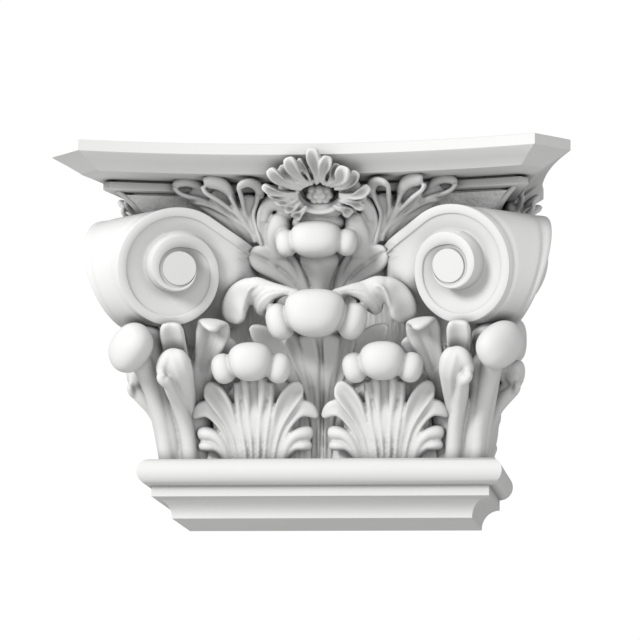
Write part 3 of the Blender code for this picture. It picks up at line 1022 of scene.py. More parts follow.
@dataclass(frozen=True)
class Calyx:
    """Three hooded lobes that fan from behind the lance leaf to the underside of the abacus."""

    floor: tuple[Path, ...] = (
        path(
            (48, 166, 0, 4.5, 5), (54, 188, 10, 7, 6), (56.5, 202, 12, 8, 6, 0.3),
            (56, 214, 15, 8, 6, 0.3),
        ),
        path(
            (51, 168, 0, 4.5, 5), (62, 190, 11, 7.5, 6), (73, 205, 15, 8.5, 6, 0.3),
            (84, 217, 20, 8, 6, 0.3),
        ),
        path(
            (53, 168, 0, 4, 5), (72, 194, 11, 7, 6), (89, 207.5, 13, 7.5, 6, 0.3),
            (106, 217, 16, 7, 6, 0.3),
        ),
    )
    hoods: tuple[Path, ...] = (
        path(
            (46, 212, 16, 3, 3.4), (47, 218.5, 23, 4.4, 3.4), (52, 221, 30, 5.4, 3.6),
            (58, 219.5, 34, 5.6, 3.4), (61.5, 216.5, 34, 3, 2.6),
        ),
        path(
            (69, 208, 16, 2.6, 3.4), (72, 216, 22, 4.4, 3.6), (78, 220.5, 28, 6.4, 3.8),
            (86, 221.5, 33, 7, 3.6), (90.5, 220, 35, 5, 2.6),
        ),
        path(
            (94, 217, 13, 2.4, 3), (99, 222, 17, 4, 3.4), (106, 224, 20, 4.6, 3.6),
            (113, 222.5, 23, 4.2, 3.2), (117, 219, 24, 2.6, 2.4),
        ),
    )
    rims: tuple[Path, ...] = (
        path(
            (44, 162, 2, 2.4, 4), (48, 178, 14.5, 2.4, 4), (51, 188, 15.5, 2.2, 4),
            (53, 199, 15.5, 2.2, 4), (50, 208, 16.5, 2.4, 4), (47, 215, 21.5, 2.6, 4),
        ),
        path(
            (54, 178, 11.5, 2.3, 3.4), (57, 193, 12.5, 2.3, 3.4), (60.5, 203, 16.5, 2.1, 3.4),
            (61, 210, 23.5, 2.1, 3.4), (62, 217, 35.5, 1.8, 2.6),
        ),
        path(
            (53, 178, 12.5, 2.2, 4), (60, 193, 14.5, 2.2, 4), (67, 204, 18.5, 2.2, 4),
            (71, 213, 23.5, 2.4, 4),
        ),
        path(
            (53, 180, 12.5, 2.3, 3.4), (65, 197, 17.5, 2.3, 3.4), (74, 204, 22.5, 2.2, 3.4),
            (82, 209, 28.5, 2.2, 3.4), (89.5, 213, 34, 1.9, 2.8), (92, 218, 34.5, 1.8, 2.6),
        ),
        path(
            (50, 178, 11.5, 2, 4), (59, 188, 14.5, 2, 4), (69, 195, 15.5, 2, 4),
            (79, 201, 17.5, 2, 4), (90, 206, 18.5, 2, 3.6), (101, 208, 19.5, 2.1, 3.4),
        ),
        path(
            (84, 206, 16.5, 2.1, 3.4), (96, 210.5, 18.5, 2.3, 3.4), (106, 212, 22.5, 2.3, 3.4),
            (113, 214.5, 25.5, 1.8, 2.6), (117, 219, 26.5, 1.8, 2.4),
        ),
    )
    roll: float = 2.6
    roll_heights: tuple[float, ...] = (226, 236, 244, 251, 257, 262, 266)

    def carve(self, clay: Clay, face: Face) -> None:
        """Add one half's lobes to a piece.

        Args:
            clay: The piece.
            face: The face that they are on.
        """
        clay.lobes(self.floor + self.hoods + self.rims, face)

    def corner_roll(self, clay: Clay, layout: Layout, sign: int) -> None:
        """Add the rounded arris that runs up the bell's corner into the lip.

        Args:
            clay: The piece.
            layout: Gives the bell.
            sign: 1 for the right corner, -1 for the left.
        """
        shell = layout.shell

        def corner(cut: Cut) -> Vector:
            """Put a station on the bell's corner.

            Args:
                cut: The station, whose up is over the capital's foot here.

            Returns:
                The point, in metres.
            """
            up = cut.up * MM
            spread = shell.spread(up)
            across, forward = corner_of(shell.front(up), shell.flank(up), layout.slab.bow * spread)
            inset = 0.5 * shell.corner_cut * spread
            return layout.at(sign * (across - inset), forward - inset, up)

        cuts = path(*((0, up, 0, self.roll, self.roll) for up in self.roll_heights))
        clay.lobe(cuts, corner, Vector((sign, -1, 0)).normalized())


@dataclass(frozen=True)
class CornerLeaf:
    """The leaf that wraps a corner of the bell under the volute, with its round knob.

    direction is the way that the stem leans out, as across and forward, and knob_way the way that
    the knob looks. wrap is how much more the flank half stands out than the flank's other leaves.
    """

    layout: Layout
    direction: Pair = (0.38, 0.925)
    wrap: float = 1.3
    knob_way: Pair = (0.616, 0.788)
    knob: Knob = Knob(Cut(152.5, 135.0, 154.0), (22.0, 14.5, 17.8), lean=38)
    blade: Path = path(
        (112, -8, -4, 16, 9), (110, 30, 0, 18, 10), (107, 60, 7, 18, 11), (104, 82, 13, 17, 10),
    )
    stem_inner: Path = path(
        (109, -8, 2, 7.2, 7), (110.5, 13, 6, 7.2, 7), (113, 30, 12, 7, 8), (117, 45, 24, 6.4, 8),
        (120.5, 54, 40, 5.4, 7), (122, 60, 52, 4.6, 6), (123.5, 63, 56, 3, 4),
    )
    hook: Path = path(
        (120.5, 56, 46, 3.4, 4), (124, 57.5, 54, 3.4, 4), (127.5, 61, 57.5, 3, 3.6),
        (127, 65.5, 57.5, 2.6, 3),
    )
    cap: Path = path(
        (109, 30, 4, 5, 6), (111, 48, 19, 8, 7), (112, 60, 37, 10, 8), (113, 69, 49, 11.5, 9),
        (115.5, 77, 54, 11.5, 8), (117.5, 84, 52, 7.5, 6),
    )
    cap_tip: Path = path(
        (107, 74, 44, 5, 6), (112, 78.5, 51, 6.5, 7), (118, 79.5, 54, 7.5, 7),
        (123.5, 76, 54.5, 6.6, 7), (127, 70, 54, 4.6, 6), (126.5, 64, 56, 3.2, 4.4),
        (123.5, 61, 59, 2.8, 3.4),
    )
    flank_tip: Path = path(
        (114, 70, 34, 9, 7), (121, 75, 44, 7, 6), (125, 68, 52, 5.6, 5), (124, 60, 55, 2.4, 3),
    )
    finger: Path = path(
        (114, 56, 4, 7, 7), (116.5, 78, 24, 8.6, 8, 0.3), (118, 91, 44, 10, 8, 0.45),
        (118.5, 101, 54, 10, 7, 0.45), (118.5, 107, 57, 7, 5, 0.3),
    )
    web: Path = path(
        (104, 30, 0, 7, 7), (103.5, 56, 8, 8, 7), (103.5, 72, 16, 6.5, 6), (104, 84, 21, 4, 4),
    )
    flap: Path = path(
        (104, 30, -2, 5, 5), (103, 50, 4, 7, 6, 0.4), (99.5, 65, 12, 8.6, 7, 0.5),
        (95, 80, 21, 10, 8, 0.6), (90, 94, 28, 12.8, 9, 0.7), (87.5, 103, 31, 14.6, 8, 0.6),
        (86.5, 110, 37, 13, 5, 0.2), (86, 106.5, 46, 9, 4), (83.5, 101, 53, 3.6, 3),
    )
    side_lobe: Path = path(
        (104, 40, -2, 4, 5), (99, 60, 7, 6, 6, 0.4), (89, 78, 17, 8, 6, 0.5),
        (78, 90, 25, 7, 5, 0.4), (69.5, 95.5, 28, 4, 3),
    )
    stem: Path = path(
        (0, -8, -3, 7.2, 8), (0, 0, 1, 7, 8), (0, 22, 7, 7.4, 8), (0, 40, 16, 7.6, 8),
        (0, 54, 26, 7.6, 8), (0, 66, 36, 8.4, 8), (0, 78, 46, 9.6, 9), (0, 88, 54, 10, 9),
    )
    core: Path = path(
        (0, -8, -7, 11, 9), (0, 27, 2, 13, 12), (0, 52, 12, 14, 14), (0, 70, 22, 14, 15),
        (0, 86, 30, 14, 16), (0, 98, 34, 15, 16), (0, 108, 32, 12, 12),
    )

    def half(self, clay: Clay, place: Place, outward: Vector, tip: Path) -> None:
        """Carve one half of the leaf.

        Args:
            clay: The piece.
            place: Puts a station in space.
            outward: The way that the face looks.
            tip: Stations of the half's hooded tip.
        """
        plain = (self.blade, self.stem_inner, self.hook, tip, self.finger, self.web, self.side_lobe)
        for cuts in plain:
            clay.lobe(cuts, place, outward)
        clay.lobe(self.cap, place, outward, Front(ribs=3, rib=0.05))
        clay.lobe(self.flap, place, outward, Front(ribs=4, rib=0.08))

    def carve(self, clay: Clay, sign: int) -> None:
        """Add the corner's leaf to a piece.

        Args:
            clay: The piece.
            sign: 1 for the right corner, -1 for the left.
        """
        layout, shell = self.layout, self.layout.shell
        front, flank = (Face(layout, side, sign) for side in (Side.FRONT, Side.FLANK))
        outward = Vector((sign * self.direction[0], -self.direction[1], 0.0))

        def mirrored(cut: Cut) -> Vector:
            """Put a station of the front half on the flank, as far from the corner.

            Args:
                cut: The station.

            Returns:
                The point, in metres.
            """
            up = layout.neck.top + cut.up * MM
            beyond = shell.flank(up) - cut.across * MM
            out = flank.relief * self.wrap * cut.out * MM
            return layout.at(sign * (shell.flank(up) + out), shell.front(up) - beyond, up)

        def corner(cut: Cut) -> Vector:
            """Put a station before the bell's corner.

            Args:
                cut: The station.

            Returns:
                The point, in metres.
            """
            up = layout.neck.top + cut.up * MM
            base = layout.at(sign * shell.flank(up), shell.front(up), up)
            return base + outward * (cut.out * MM)

        self.half(clay, front.place, front.outward, self.cap_tip)
        self.half(clay, mirrored, flank.outward, self.flank_tip)
        for cuts in (self.stem, self.core):
            clay.lobe(cuts, corner, outward)
        level = Vector((sign * self.knob_way[1], self.knob_way[0], 0.0))
        at = self.knob.at
        clay.boss(layout.at_mm(sign * at.across, at.out, at.up), level, self.knob, sign)


def grid(mesh: bmesh.types.BMesh, columns: int, rows: int) -> Sheet:
    """Add a sheet of squares.

    Args:
        mesh: Receives the sheet.
        columns: Squares one way.
        rows: Squares the other way.

    Returns:
        Its vertices by column and row.
    """
    sheet = bmesh.ops.create_grid(mesh, x_segments=columns, y_segments=rows, size=1.0)["verts"]
    table = {}
    for vert in sheet:
        column = round((vert.co.x + 1) / 2 * columns)
        table[column, round((vert.co.y + 1) / 2 * rows)] = vert
    return table


@dataclass(frozen=True)
class Volute:
    """A corner volute: a spiral face to the front, one to the flank, and the drum between them.

    Lengths are in millimetres and angles in degrees. The winding angle is 0 where the stalk runs
    level towards the middle of the face, and grows inwards along the spiral up to the eye. Radii
    are given for every quarter turn from 90 degrees on. Pairs of winding angles say where a change
    of the section starts and ends.
    """

    layout: Layout
    eye_rise: float = 10.0
    eye_up: float = 201.0
    front_eye: Pair = (113.7, 159.5)
    front_turn: float = 18.8
    flank_eye: Pair = (170.6, 114.1)
    flank_turn: float = 66.0
    lean: float = 15.4
    radii: tuple[float, ...] = (49.5, 50.2, 48.5, 34.5, 29.0, 26.7, 20.6, 13.8)
    start: float = -67.5
    end: float = 720.0
    step: float = 5.625
    rise: Pair = (330.0, 560.0)
    batter_share: float = 0.32
    batter_ends: Pair = (690.0, 570.0)
    edge_drops: Pair = (0.9, 0.1)
    edge_turns: Pair = (600.0, 720.0)
    rim: float = 7.5
    least_rim: float = 1.5
    rim_share: float = 0.5
    channel: float = 4.0
    channel_share: float = 0.6
    inner_rim: float = 3.0
    inner_channel: float = 1.3
    inner_turns: Pair = (370.0, 450.0)
    eye_fade: float = 50.0
    full_room: float = 5.0
    outer_arris: tuple[Pair, ...] = ((0.3, 0.25), (1.0, 0.0))
    inner_arris: tuple[Pair, ...] = ((-0.6, 0.0), (0.0, 0.35))
    channel_lip: float = 0.5
    lip_drop: float = 1.3
    lip_room: float = 12.0
    channel_start: float = 1.2
    channel_shares: tuple[float, ...] = (0.2, 0.4, 0.6, 0.8)
    toe: Pair = (0.08, 0.2)
    heel: Pair = (0.2, 0.9)
    eye_heel: Pair = (0.4, 0.2)
    stalk_angle: float = 58.4
    steepest: float = 80.0
    stalk_reach: float = 72.0
    stalk_limit: float = 76.0
    apron_from: float = -8.0
    apron_fall: float = 34.0
    dive_from: float = 50.0
    dive: float = 0.045
    drum_steps: int = 24
    drum_grooves: Pair = (0.14, 0.86)
    groove_width: float = 0.05
    groove_depth: float = 0.014
    sharp_from: float = 36.0

    def slant(self, turn: float) -> float:
        """Cosine between the stalk's straight edge and the edge's normal, kept away from zero."""
        return math.cos(math.radians(min(self.stalk_angle - turn, self.steepest)))

    def radius(self, turn: float) -> float:
        """Radius of the spiral's outer edge.

        Args:
            turn: Winding angle.

        Returns:
            The radius, which follows the stalk's straight edge before the spiral starts.
        """
        first = self.radii[0]
        if turn < self.stalk_angle:
            end = self.stalk_reach / math.cos(math.radians(turn))
            return min(first / self.slant(turn), end, self.stalk_limit)
        if turn < 90:
            return first
        last = len(self.radii) - 1
        place = min((turn - 90) / 90, last)
        return along([(value,) for value in self.radii], place / last)[0]

    def level(self, turn: float) -> float:
        """Height of the rim over the face: the inner turn stands up to the eye."""
        return self.eye_rise * ease(ramp(turn, *self.rise))

    def batter(self, turn: float) -> float:
        """How far the raised turn's wall slopes in; none at the eye."""
        return self.batter_share * self.level(turn) * ease(ramp(turn, *self.batter_ends))

    def edge(self, turn: float) -> float:
        """How far the rim's outer edge is eased; next to nothing where the spiral ends."""
        first, last = self.edge_drops
        return first + (last - first) * ramp(turn, *self.edge_turns)

    def rim_and_channel(self, turn: float, outer: float, room: float) -> Pair:
        """How one turn is shared between its rim and its channel.

        Args:
            turn: Winding angle.
            outer: Radius of the turn's outer edge.
            room: Distance from there to the next turn in.

        Returns:
            The rim's width and the channel's depth.
        """
        rim = min(self.rim, self.rim_share * room)
        if turn < self.stalk_angle:
            rim = max(outer - (self.radii[0] - self.rim) / self.slant(turn), self.least_rim)
        deep = min(self.channel, self.channel_share * room)
        share = ease(ramp(turn, *self.inner_turns))
        rim += share * (max(room - self.inner_rim, self.rim_share * room) - rim)
        deep += share * (self.inner_channel - deep)
        return rim, deep

    def section(self, turn: float) -> Outline:
        """Points across one turn, from its outer edge to the next turn in.

        Args:
            turn: Winding angle.

        Returns:
            Radius and level of each point.
        """
        outer = self.radius(turn)
        inner = self.radius(turn + 360)
        level = self.level(turn)
        room = outer - inner
        rim, deep = self.rim_and_channel(turn, outer, room)
        floor = level - deep
        fine = min(1.0, room / self.full_room)
        shoulder = outer - self.batter(turn)
        foot = outer - rim
        points = [(shoulder, level - self.edge(turn))]
        for edge, arris in ((shoulder, self.outer_arris), (foot, self.inner_arris)):
            points += [(edge - aside * fine, level - drop * fine) for aside, drop in arris]
        lip = foot - self.channel_lip * fine
        points.append((lip, level - self.lip_drop * min(1, room / self.lip_room)))
        span = lip - inner
        top = level - self.channel_start * fine
        for share in self.channel_shares:
            drop = top + (floor - top) * math.sin(share * math.pi / 2)
            points.append((inner + span * (1 - share), drop))
        eye = ramp(min(turn - 360.0, self.end - turn), 0.0, self.eye_fade)
        aside, up = (far + (near - far) * eye for far, near in zip(self.heel, self.eye_heel))
        points.append((inner + self.toe[0] * span, floor + self.toe[1] * fine))
        points.append((inner + aside * fine, floor + up * fine))
        after = turn + 360
        points.append((inner - self.batter(after), self.level(after) - self.edge(after)))
        return points

    def fall(self, turn: float, radius: float) -> float:
        """How far the stalk has sunk back, at its inner end and where it runs down to the bell.

        Args:
            turn: Winding angle.
            radius: Distance from the eye.

        Returns:
            The fall.
        """
        sunk = self.apron_fall * ease(ramp(turn, self.apron_from, self.start))
        beyond = max(radius * math.cos(math.radians(turn)) - self.dive_from, 0.0)
        return sunk + self.dive * beyond * beyond

    def spiral(
        self,
        mesh: bmesh.types.BMesh,
        sign: int,
        eye: Pair,
        turn: float,
        facing: int,
    ) -> list[bmesh.types.BMVert]:
        """Model one spiral face.

        Args:
            mesh: Receives the face.
            sign: 1 for the right corner, -1 for the left.
            eye: Across and forward of the eye's axis.
            turn: How far the face is turned away from the front.
            facing: 1 for the front, -1 for the flank.

        Returns:
            The vertices round the face's border, in order.
        """
        angle, lean = math.radians(turn), math.radians(self.lean)
        centre = self.layout.at_mm(sign * eye[0], eye[1], self.eye_up)
        inward = Vector((-sign * math.cos(angle), math.sin(angle), 0.0))
        level_out = facing * Vector((-sign * math.sin(angle), -math.cos(angle), 0.0))
        outward = level_out * math.cos(lean) - Vector((0, 0, math.sin(lean)))
        upward = level_out * math.sin(lean) + Vector((0, 0, math.cos(lean)))
        count = round((self.end - self.start) / self.step)
        rows = len(self.section(0.0)) - 1
        table = grid(mesh, count, rows)
        for column in range(count + 1):
            degrees = self.start + self.step * column
            winding = math.radians(degrees)
            ray = inward * math.cos(winding) + upward * math.sin(winding)
            for row, (radius, level) in enumerate(self.section(degrees)):
                if row < rows and degrees < 90:
                    level -= self.fall(degrees, radius)
                table[column, row].co = centre + ray * (radius * MM) + outward * (level * MM)
        hub = mesh.verts.new(centre + outward * (self.eye_rise * MM))
        once = round((360 - self.start) / self.step)
        rims = [table[column, rows] for column in range(once, count + 1)]
        for first, second in zip(rims, rims[1:]):
            mesh.faces.new((hub, first, second))
        border = [table[column, 0] for column in range(round(360 / self.step) + 1)]
        return border + [table[0, row] for row in range(rows - 1, 0, -1)]

    def piece(self, sign: int, name: str) -> bpy.types.Object:
        """Model the whole volute.

        Args:
            sign: 1 for the right corner, -1 for the left.
            name: The piece's name.

        Returns:
            The finished object.
        """
        mesh = bmesh.new()
        front = self.spiral(mesh, sign, self.front_eye, self.front_turn, 1)
        flank = self.spiral(mesh, sign, self.flank_eye, self.flank_turn, -1)
        count = len(front)
        middle = sum((vert.co for vert in front + flank), Vector()) / (2 * count)
        for (column, row), vert in grid(mesh, count, self.drum_steps).items():
            share = row / self.drum_steps
            point = front[column % count].co.lerp(flank[column % count].co, share)
            ways = [(share - place) / self.groove_width for place in self.drum_grooves]
            groove = sum(math.exp(-(way**2)) for way in ways)
            vert.co = middle + (point - middle) * (1 - self.groove_depth * groove)
        bmesh.ops.remove_doubles(mesh, verts=mesh.verts[:], dist=2 * WELD)
        bmesh.ops.dissolve_degenerate(mesh, dist=WELD, edges=mesh.edges[:])
        bmesh.ops.recalc_face_normals(mesh, faces=mesh.faces[:])
        return as_piece(mesh, name, self.sharp_from)


@dataclass(frozen=True)
class Flower:
    """The flower on the middle of the abacus: a leaning ring of petals round a hollow with a bud.

    Lengths are in millimetres and angles in degrees. The rows say:
    petals: angle of the root round the mouth, across and up of the tip, width, lift and sway.
    blade: share of the way to a petal's tip, shares of its sway and lift, lift beyond that, share
    of its width, depth and hollow.
    funnel: distance beyond the mouth's edge of a ring round it, its place outward, width, depth.
    scales: number in a row of the bud, the gap between them, their height and place outward.
    """

    layout: Layout
    centre: Triple = (3.0, 171.0, 250.5)
    lean: float = 45.0
    mouth: Pair = (1.6, 5.6)
    radii: Pair = (17.0, 12.4)
    petals: Rows = (
        (92, 1, 57, 5.6, 5, -1), (104, -10.5, 44.5, 2.2, 1, -1), (74, 12.5, 50, 5.2, 6, 2),
        (64, 19.5, 38, 4.6, 0, -1), (54, 26.5, 40, 6.2, 7, -3), (36, 35, 31.5, 4.6, 2, -3),
        (12, 44, 18, 4.4, 4, -4), (0, 39, 6, 3, -1, -2), (-16, 37.5, -4, 4.2, -2, 2),
        (-44, 26, -12, 5, -4, 2), (112, -19.5, 49, 5.4, 6, 2), (122, -26, 38, 4, 1, 1),
        (131, -36, 37, 4.8, 5, 3), (144, -35, 27.5, 3, 0, 1), (158, -42, 20.5, 3.6, 4, 3),
        (172, -38.5, 11, 3, 0, 2), (186, -33, 3, 3.2, -1, 2), (204, -27, -6, 4.2, -3, 1),
        (228, -20, -15, 5, -4, 0),
    )
    blade: Rows = (
        (0.0, 0.0, 0.0, -4.0, 0.36, 4.0, 0.0),
        (0.2, 0.6, 0.0, -1.0, 0.44, 4.6, 0.3),
        (0.46, 1.0, 0.5, 0.0, 0.68, 5.2, 0.5),
        (0.72, 0.6, 1.0, 0.0, 1.04, 6.0, 0.65),
        (0.9, 0.1, 1.0, 0.5, 1.0, 5.6, 0.5),
        (1.0, 0.0, 1.0, -1.5, 0.7, 4.0, 0.0),
    )
    petal_gap: float = 1.0
    funnel: Rows = (
        (2.2, -5.5, 2.2, 3.4),
        (3.4, -10.5, 4.2, 5.0),
        (2.8, -17.0, 4.6, 6.0),
    )
    funnel_turns: range = range(-95, 285, 15)
    lip_sag: float = 1.2
    lip_out: float = 2.0
    lip_swell: float = 0.5
    brow_back: float = 1.5
    web_turns: range = range(10, 180, 20)
    web_reach: float = 9.0
    web_out: float = -10.0
    web: Triple = (8.5, 6.0, 8.5)
    chin: Knob = Knob(Cut(1.5, -12.0, -11.0), (20.0, 9.0, 9.0), power=2.0)
    throat: Knob = Knob(Cut(1.0, 239.5, 145.0), (22.0, 13.0, 11.0), power=2.0)
    foot: Triple = (0.0, 112.0, 232.0)
    stalk_gap: float = 32.0
    stalk: Path = path((0, 0, 0, 22, 20), (0, 0.5, 0, 22, 20), (0, 1, 0, 20, 16))
    heart: Knob = Knob(Cut(1.4, 2.0, -16.0), (10.0, 9.0, 8.0))
    scales: Rows = (
        (3, 6.4, 5.2, -9.5),
        (4, 5.2, 0.6, -7.5),
        (3, 4.8, -4.0, -8.0),
    )
    scale_middle: Pair = (1.4, 3.0)
    scale_curve: Pair = (0.03, 0.04)
    scale: Triple = (3.5, 3.0, 3.7)
    scale_lean: float = 2.5

    def ways(self) -> tuple[Vector, Vector, Vector]:
        """Work out how the flower is placed.

        Returns:
            Its outward and upward directions and its centre.
        """
        lean = math.radians(self.lean)
        outward = Vector((0, -math.cos(lean), -math.sin(lean)))
        upward = Vector((0, -math.sin(lean), math.cos(lean)))
        return outward, upward, self.layout.at_mm(*self.centre)

    def place(self, cut: Cut) -> Vector:
        """Put a station on the flower's leaning plane."""
        outward, upward, middle = self.ways()
        return middle + (ACROSS * cut.across + upward * cut.up + outward * cut.out) * MM

    def round_mouth(self, angle: float, beyond: float) -> Pair:
        """Find a point round the mouth.

        Args:
            angle: Its angle.
            beyond: Its distance beyond the mouth's edge.

        Returns:
            Its across and up on the flower's plane.
        """
        turn = math.radians(angle)
        across = self.mouth[0] + (self.radii[0] + beyond) * math.cos(turn)
        return across, self.mouth[1] + (self.radii[1] + beyond) * math.sin(turn)

    def petal(
        self, clay: Clay, root: float, tip: Pair, width: float, lift: float, sway: float
    ) -> None:
        """Add one petal to a piece.

        Args:
            clay: The piece.
            root: Angle of its root round the mouth.
            tip: Across and up of its tip on the flower's plane.
            width: Its half width.
            lift: How far it stands out.
            sway: How far it bends aside.
        """
        start = Vector(self.round_mouth(root, self.petal_gap))
        reach = Vector(tip) - start
        aside = Vector((-reach.y, reach.x)).normalized()
        cuts = []
        for share, swayed, lifted, out, wide, depth, hollow in self.blade:
            x, y = start + reach * share + aside * (swayed * sway)
            cuts.append(Cut(x, y, lifted * lift + out, wide * width, depth, hollow))
        clay.lobe(tuple(cuts), self.place, self.ways()[0])

    def ring(self, clay: Clay, beyond: float, out: float, width: float, depth: float) -> None:
        """Add one ring round the mouth, fuller and further out below, to a piece.

        Args:
            clay: The piece.
            beyond: Distance beyond the mouth's edge.
            out: Its place outward.
            width: Its half width.
            depth: Its half depth.
        """
        cuts = []
        for angle in self.funnel_turns:
            x, y = self.round_mouth(angle, beyond)
            sine = math.sin(math.radians(angle))
            low, high = max(-sine, 0.0), max(sine, 0.0)
            forth = out + self.lip_out * low - self.brow_back * high
            cuts.append(Cut(x, y - self.lip_sag * low, forth, width + self.lip_swell * low, depth))
        clay.lobe(tuple(cuts), self.place, self.ways()[0], rings=72, sides=16)

    def carve(self, clay: Clay) -> None:
        """Add the petals, the funnel round the mouth and the stalk to a piece.

        Args:
            clay: The piece.
        """
        outward, _, middle = self.ways()
        for root, across, up, *shape in self.petals:
            self.petal(clay, root, (across, up), *shape)
        for row in self.funnel:
            self.ring(clay, *row)
        for angle in self.web_turns:
            spot = Cut(*self.round_mouth(angle, self.web_reach), self.web_out)
            clay.boss(self.place(spot), ACROSS, Knob(spot, self.web, power=2.0))
        clay.boss(self.place(self.chin.at), ACROSS, self.chin)
        at = self.throat.at
        clay.boss(self.layout.at_mm(at.across, at.out, at.up), ACROSS, self.throat)
        foot = self.layout.at_mm(*self.foot)
        base = middle - outward * (self.stalk_gap * MM)
        clay.lobe(self.stalk, lambda cut: foot.lerp(base, cut.up), Vector((0, 0, 1)))

    def bud(self, clay: Clay) -> None:
        """Add the bud in the flower's hollow, in rows of overlapping scales.

        Args:
            clay: The piece.
        """
        clay.boss(self.place(self.heart.at), ACROSS, self.heart)
        across, middle = self.scale_middle
        sag, back = self.scale_curve
        for count, gap, up, out in self.scales:
            for index in range(count):
                side = (index - 0.5 * (count - 1)) * gap
                spot = Cut(across + side, middle + up - sag * side * side, out - back * side * side)
                knob = Knob(spot, self.scale, lean=self.scale_lean * side)
                clay.boss(self.place(spot), ACROSS, knob)


@dataclass(frozen=True)
class Core:
    """The plain bodies behind the carving: neck moulding, bell and abacus."""

    layout: Layout
    abacus_sharp_from: float = 28.0

    def neck(self) -> bpy.types.Object:
        """Model the shaft end with its cove, fillet and torus.

        Returns:
            The finished object.
        """
        neck = self.layout.neck
        levels = []
        for out, up in neck.profile():
            across, forward = neck.shaft_half + out, neck.shaft_forward + out
            levels.append((up, [(0.0, forward), (across, forward), (across, 0.0)]))
        return as_piece(stack(self.layout, levels), "neck_moulding")

    def bell(self) -> bpy.types.Object:
        """Model the smooth bell from the neck to the lip, with a thin groove under the lip.

        Returns:
            The finished object.
        """
        shell, slab = self.layout.shell, self.layout.slab
        foot, groove = self.layout.neck.top, shell.top - slab.quirk

        def outline(up: float, less: float, cut: float) -> Outline:
            """The bell's plan at a height, less a depth all round, with its corner cut."""
            bow = slab.bow * shell.spread(up)
            return half_outline(shell.front(up) - less, shell.flank(up) - less, bow, cut)

        levels = []
        for step in range(shell.steps + 1):
            up = foot + (groove - foot) * step / shell.steps
            levels.append((up, outline(up, 0.0, shell.corner_cut * shell.spread(up))))
        sunk = outline(groove, slab.quirk_depth, shell.corner_cut)
        levels += [(groove, sunk), (shell.top, sunk)]
        return as_piece(stack(self.layout, levels), "bell")

    def abacus(self) -> bpy.types.Object:
        """Model the lip and the hollow-sided abacus over it, with its arrises just eased.

        Returns:
            The finished object.
        """
        top, slab = self.layout.top, self.layout.slab
        face_up = top - slab.face_height
        soffit_up = face_up - slab.bevel_height
        lip_up = soffit_up - slab.lip_height
        ease_by, quirk_up = slab.arris, soffit_up - slab.quirk

        def lip(less: float) -> Outline:
            """The lip's plan, less a depth all round."""
            front, flank = slab.lip_front - less, slab.lip_flank - less
            return half_outline(front, flank, slab.bow, slab.lip_cut)

        def plan(share: float, less: float = 0.0) -> Outline:
            """Draw the slab's plan, less a depth all round.

            Args:
                share: The share of the bevel's inset, 0 at its top and 1 at its foot.
                less: The depth.

            Returns:
                Half the outline.
            """
            inset = share * slab.bevel_inset + less
            cut = share * slab.soffit_cut + (1 - share) * slab.corner_cut
            return half_outline(slab.front - inset, slab.flank - inset, slab.bow, cut)

        levels = [
            (lip_up, lip(ease_by)),
            (lip_up + ease_by, lip(0.0)),
            (quirk_up, lip(0.0)),
            (quirk_up, lip(slab.quirk_depth)),
            (soffit_up, lip(slab.quirk_depth)),
            (soffit_up, plan(1.0, ease_by)),
            (soffit_up + ease_by, plan(1.0)),
            (soffit_up + 0.5 * slab.bevel_height, plan(slab.bulge)),
            (face_up - ease_by, plan(0.0, ease_by)),
            (face_up, plan(0.0)),
            (top - ease_by, plan(0.0)),
            (top, plan(0.0, ease_by)),
        ]
        return as_piece(stack(self.layout, levels), "abacus", self.abacus_sharp_from)


@dataclass(frozen=True)
class Lamp:
    """A soft square lamp: its name, its place and size in metres, and its power in watts."""

    name: str
    at: Triple
    size: float
    power: float


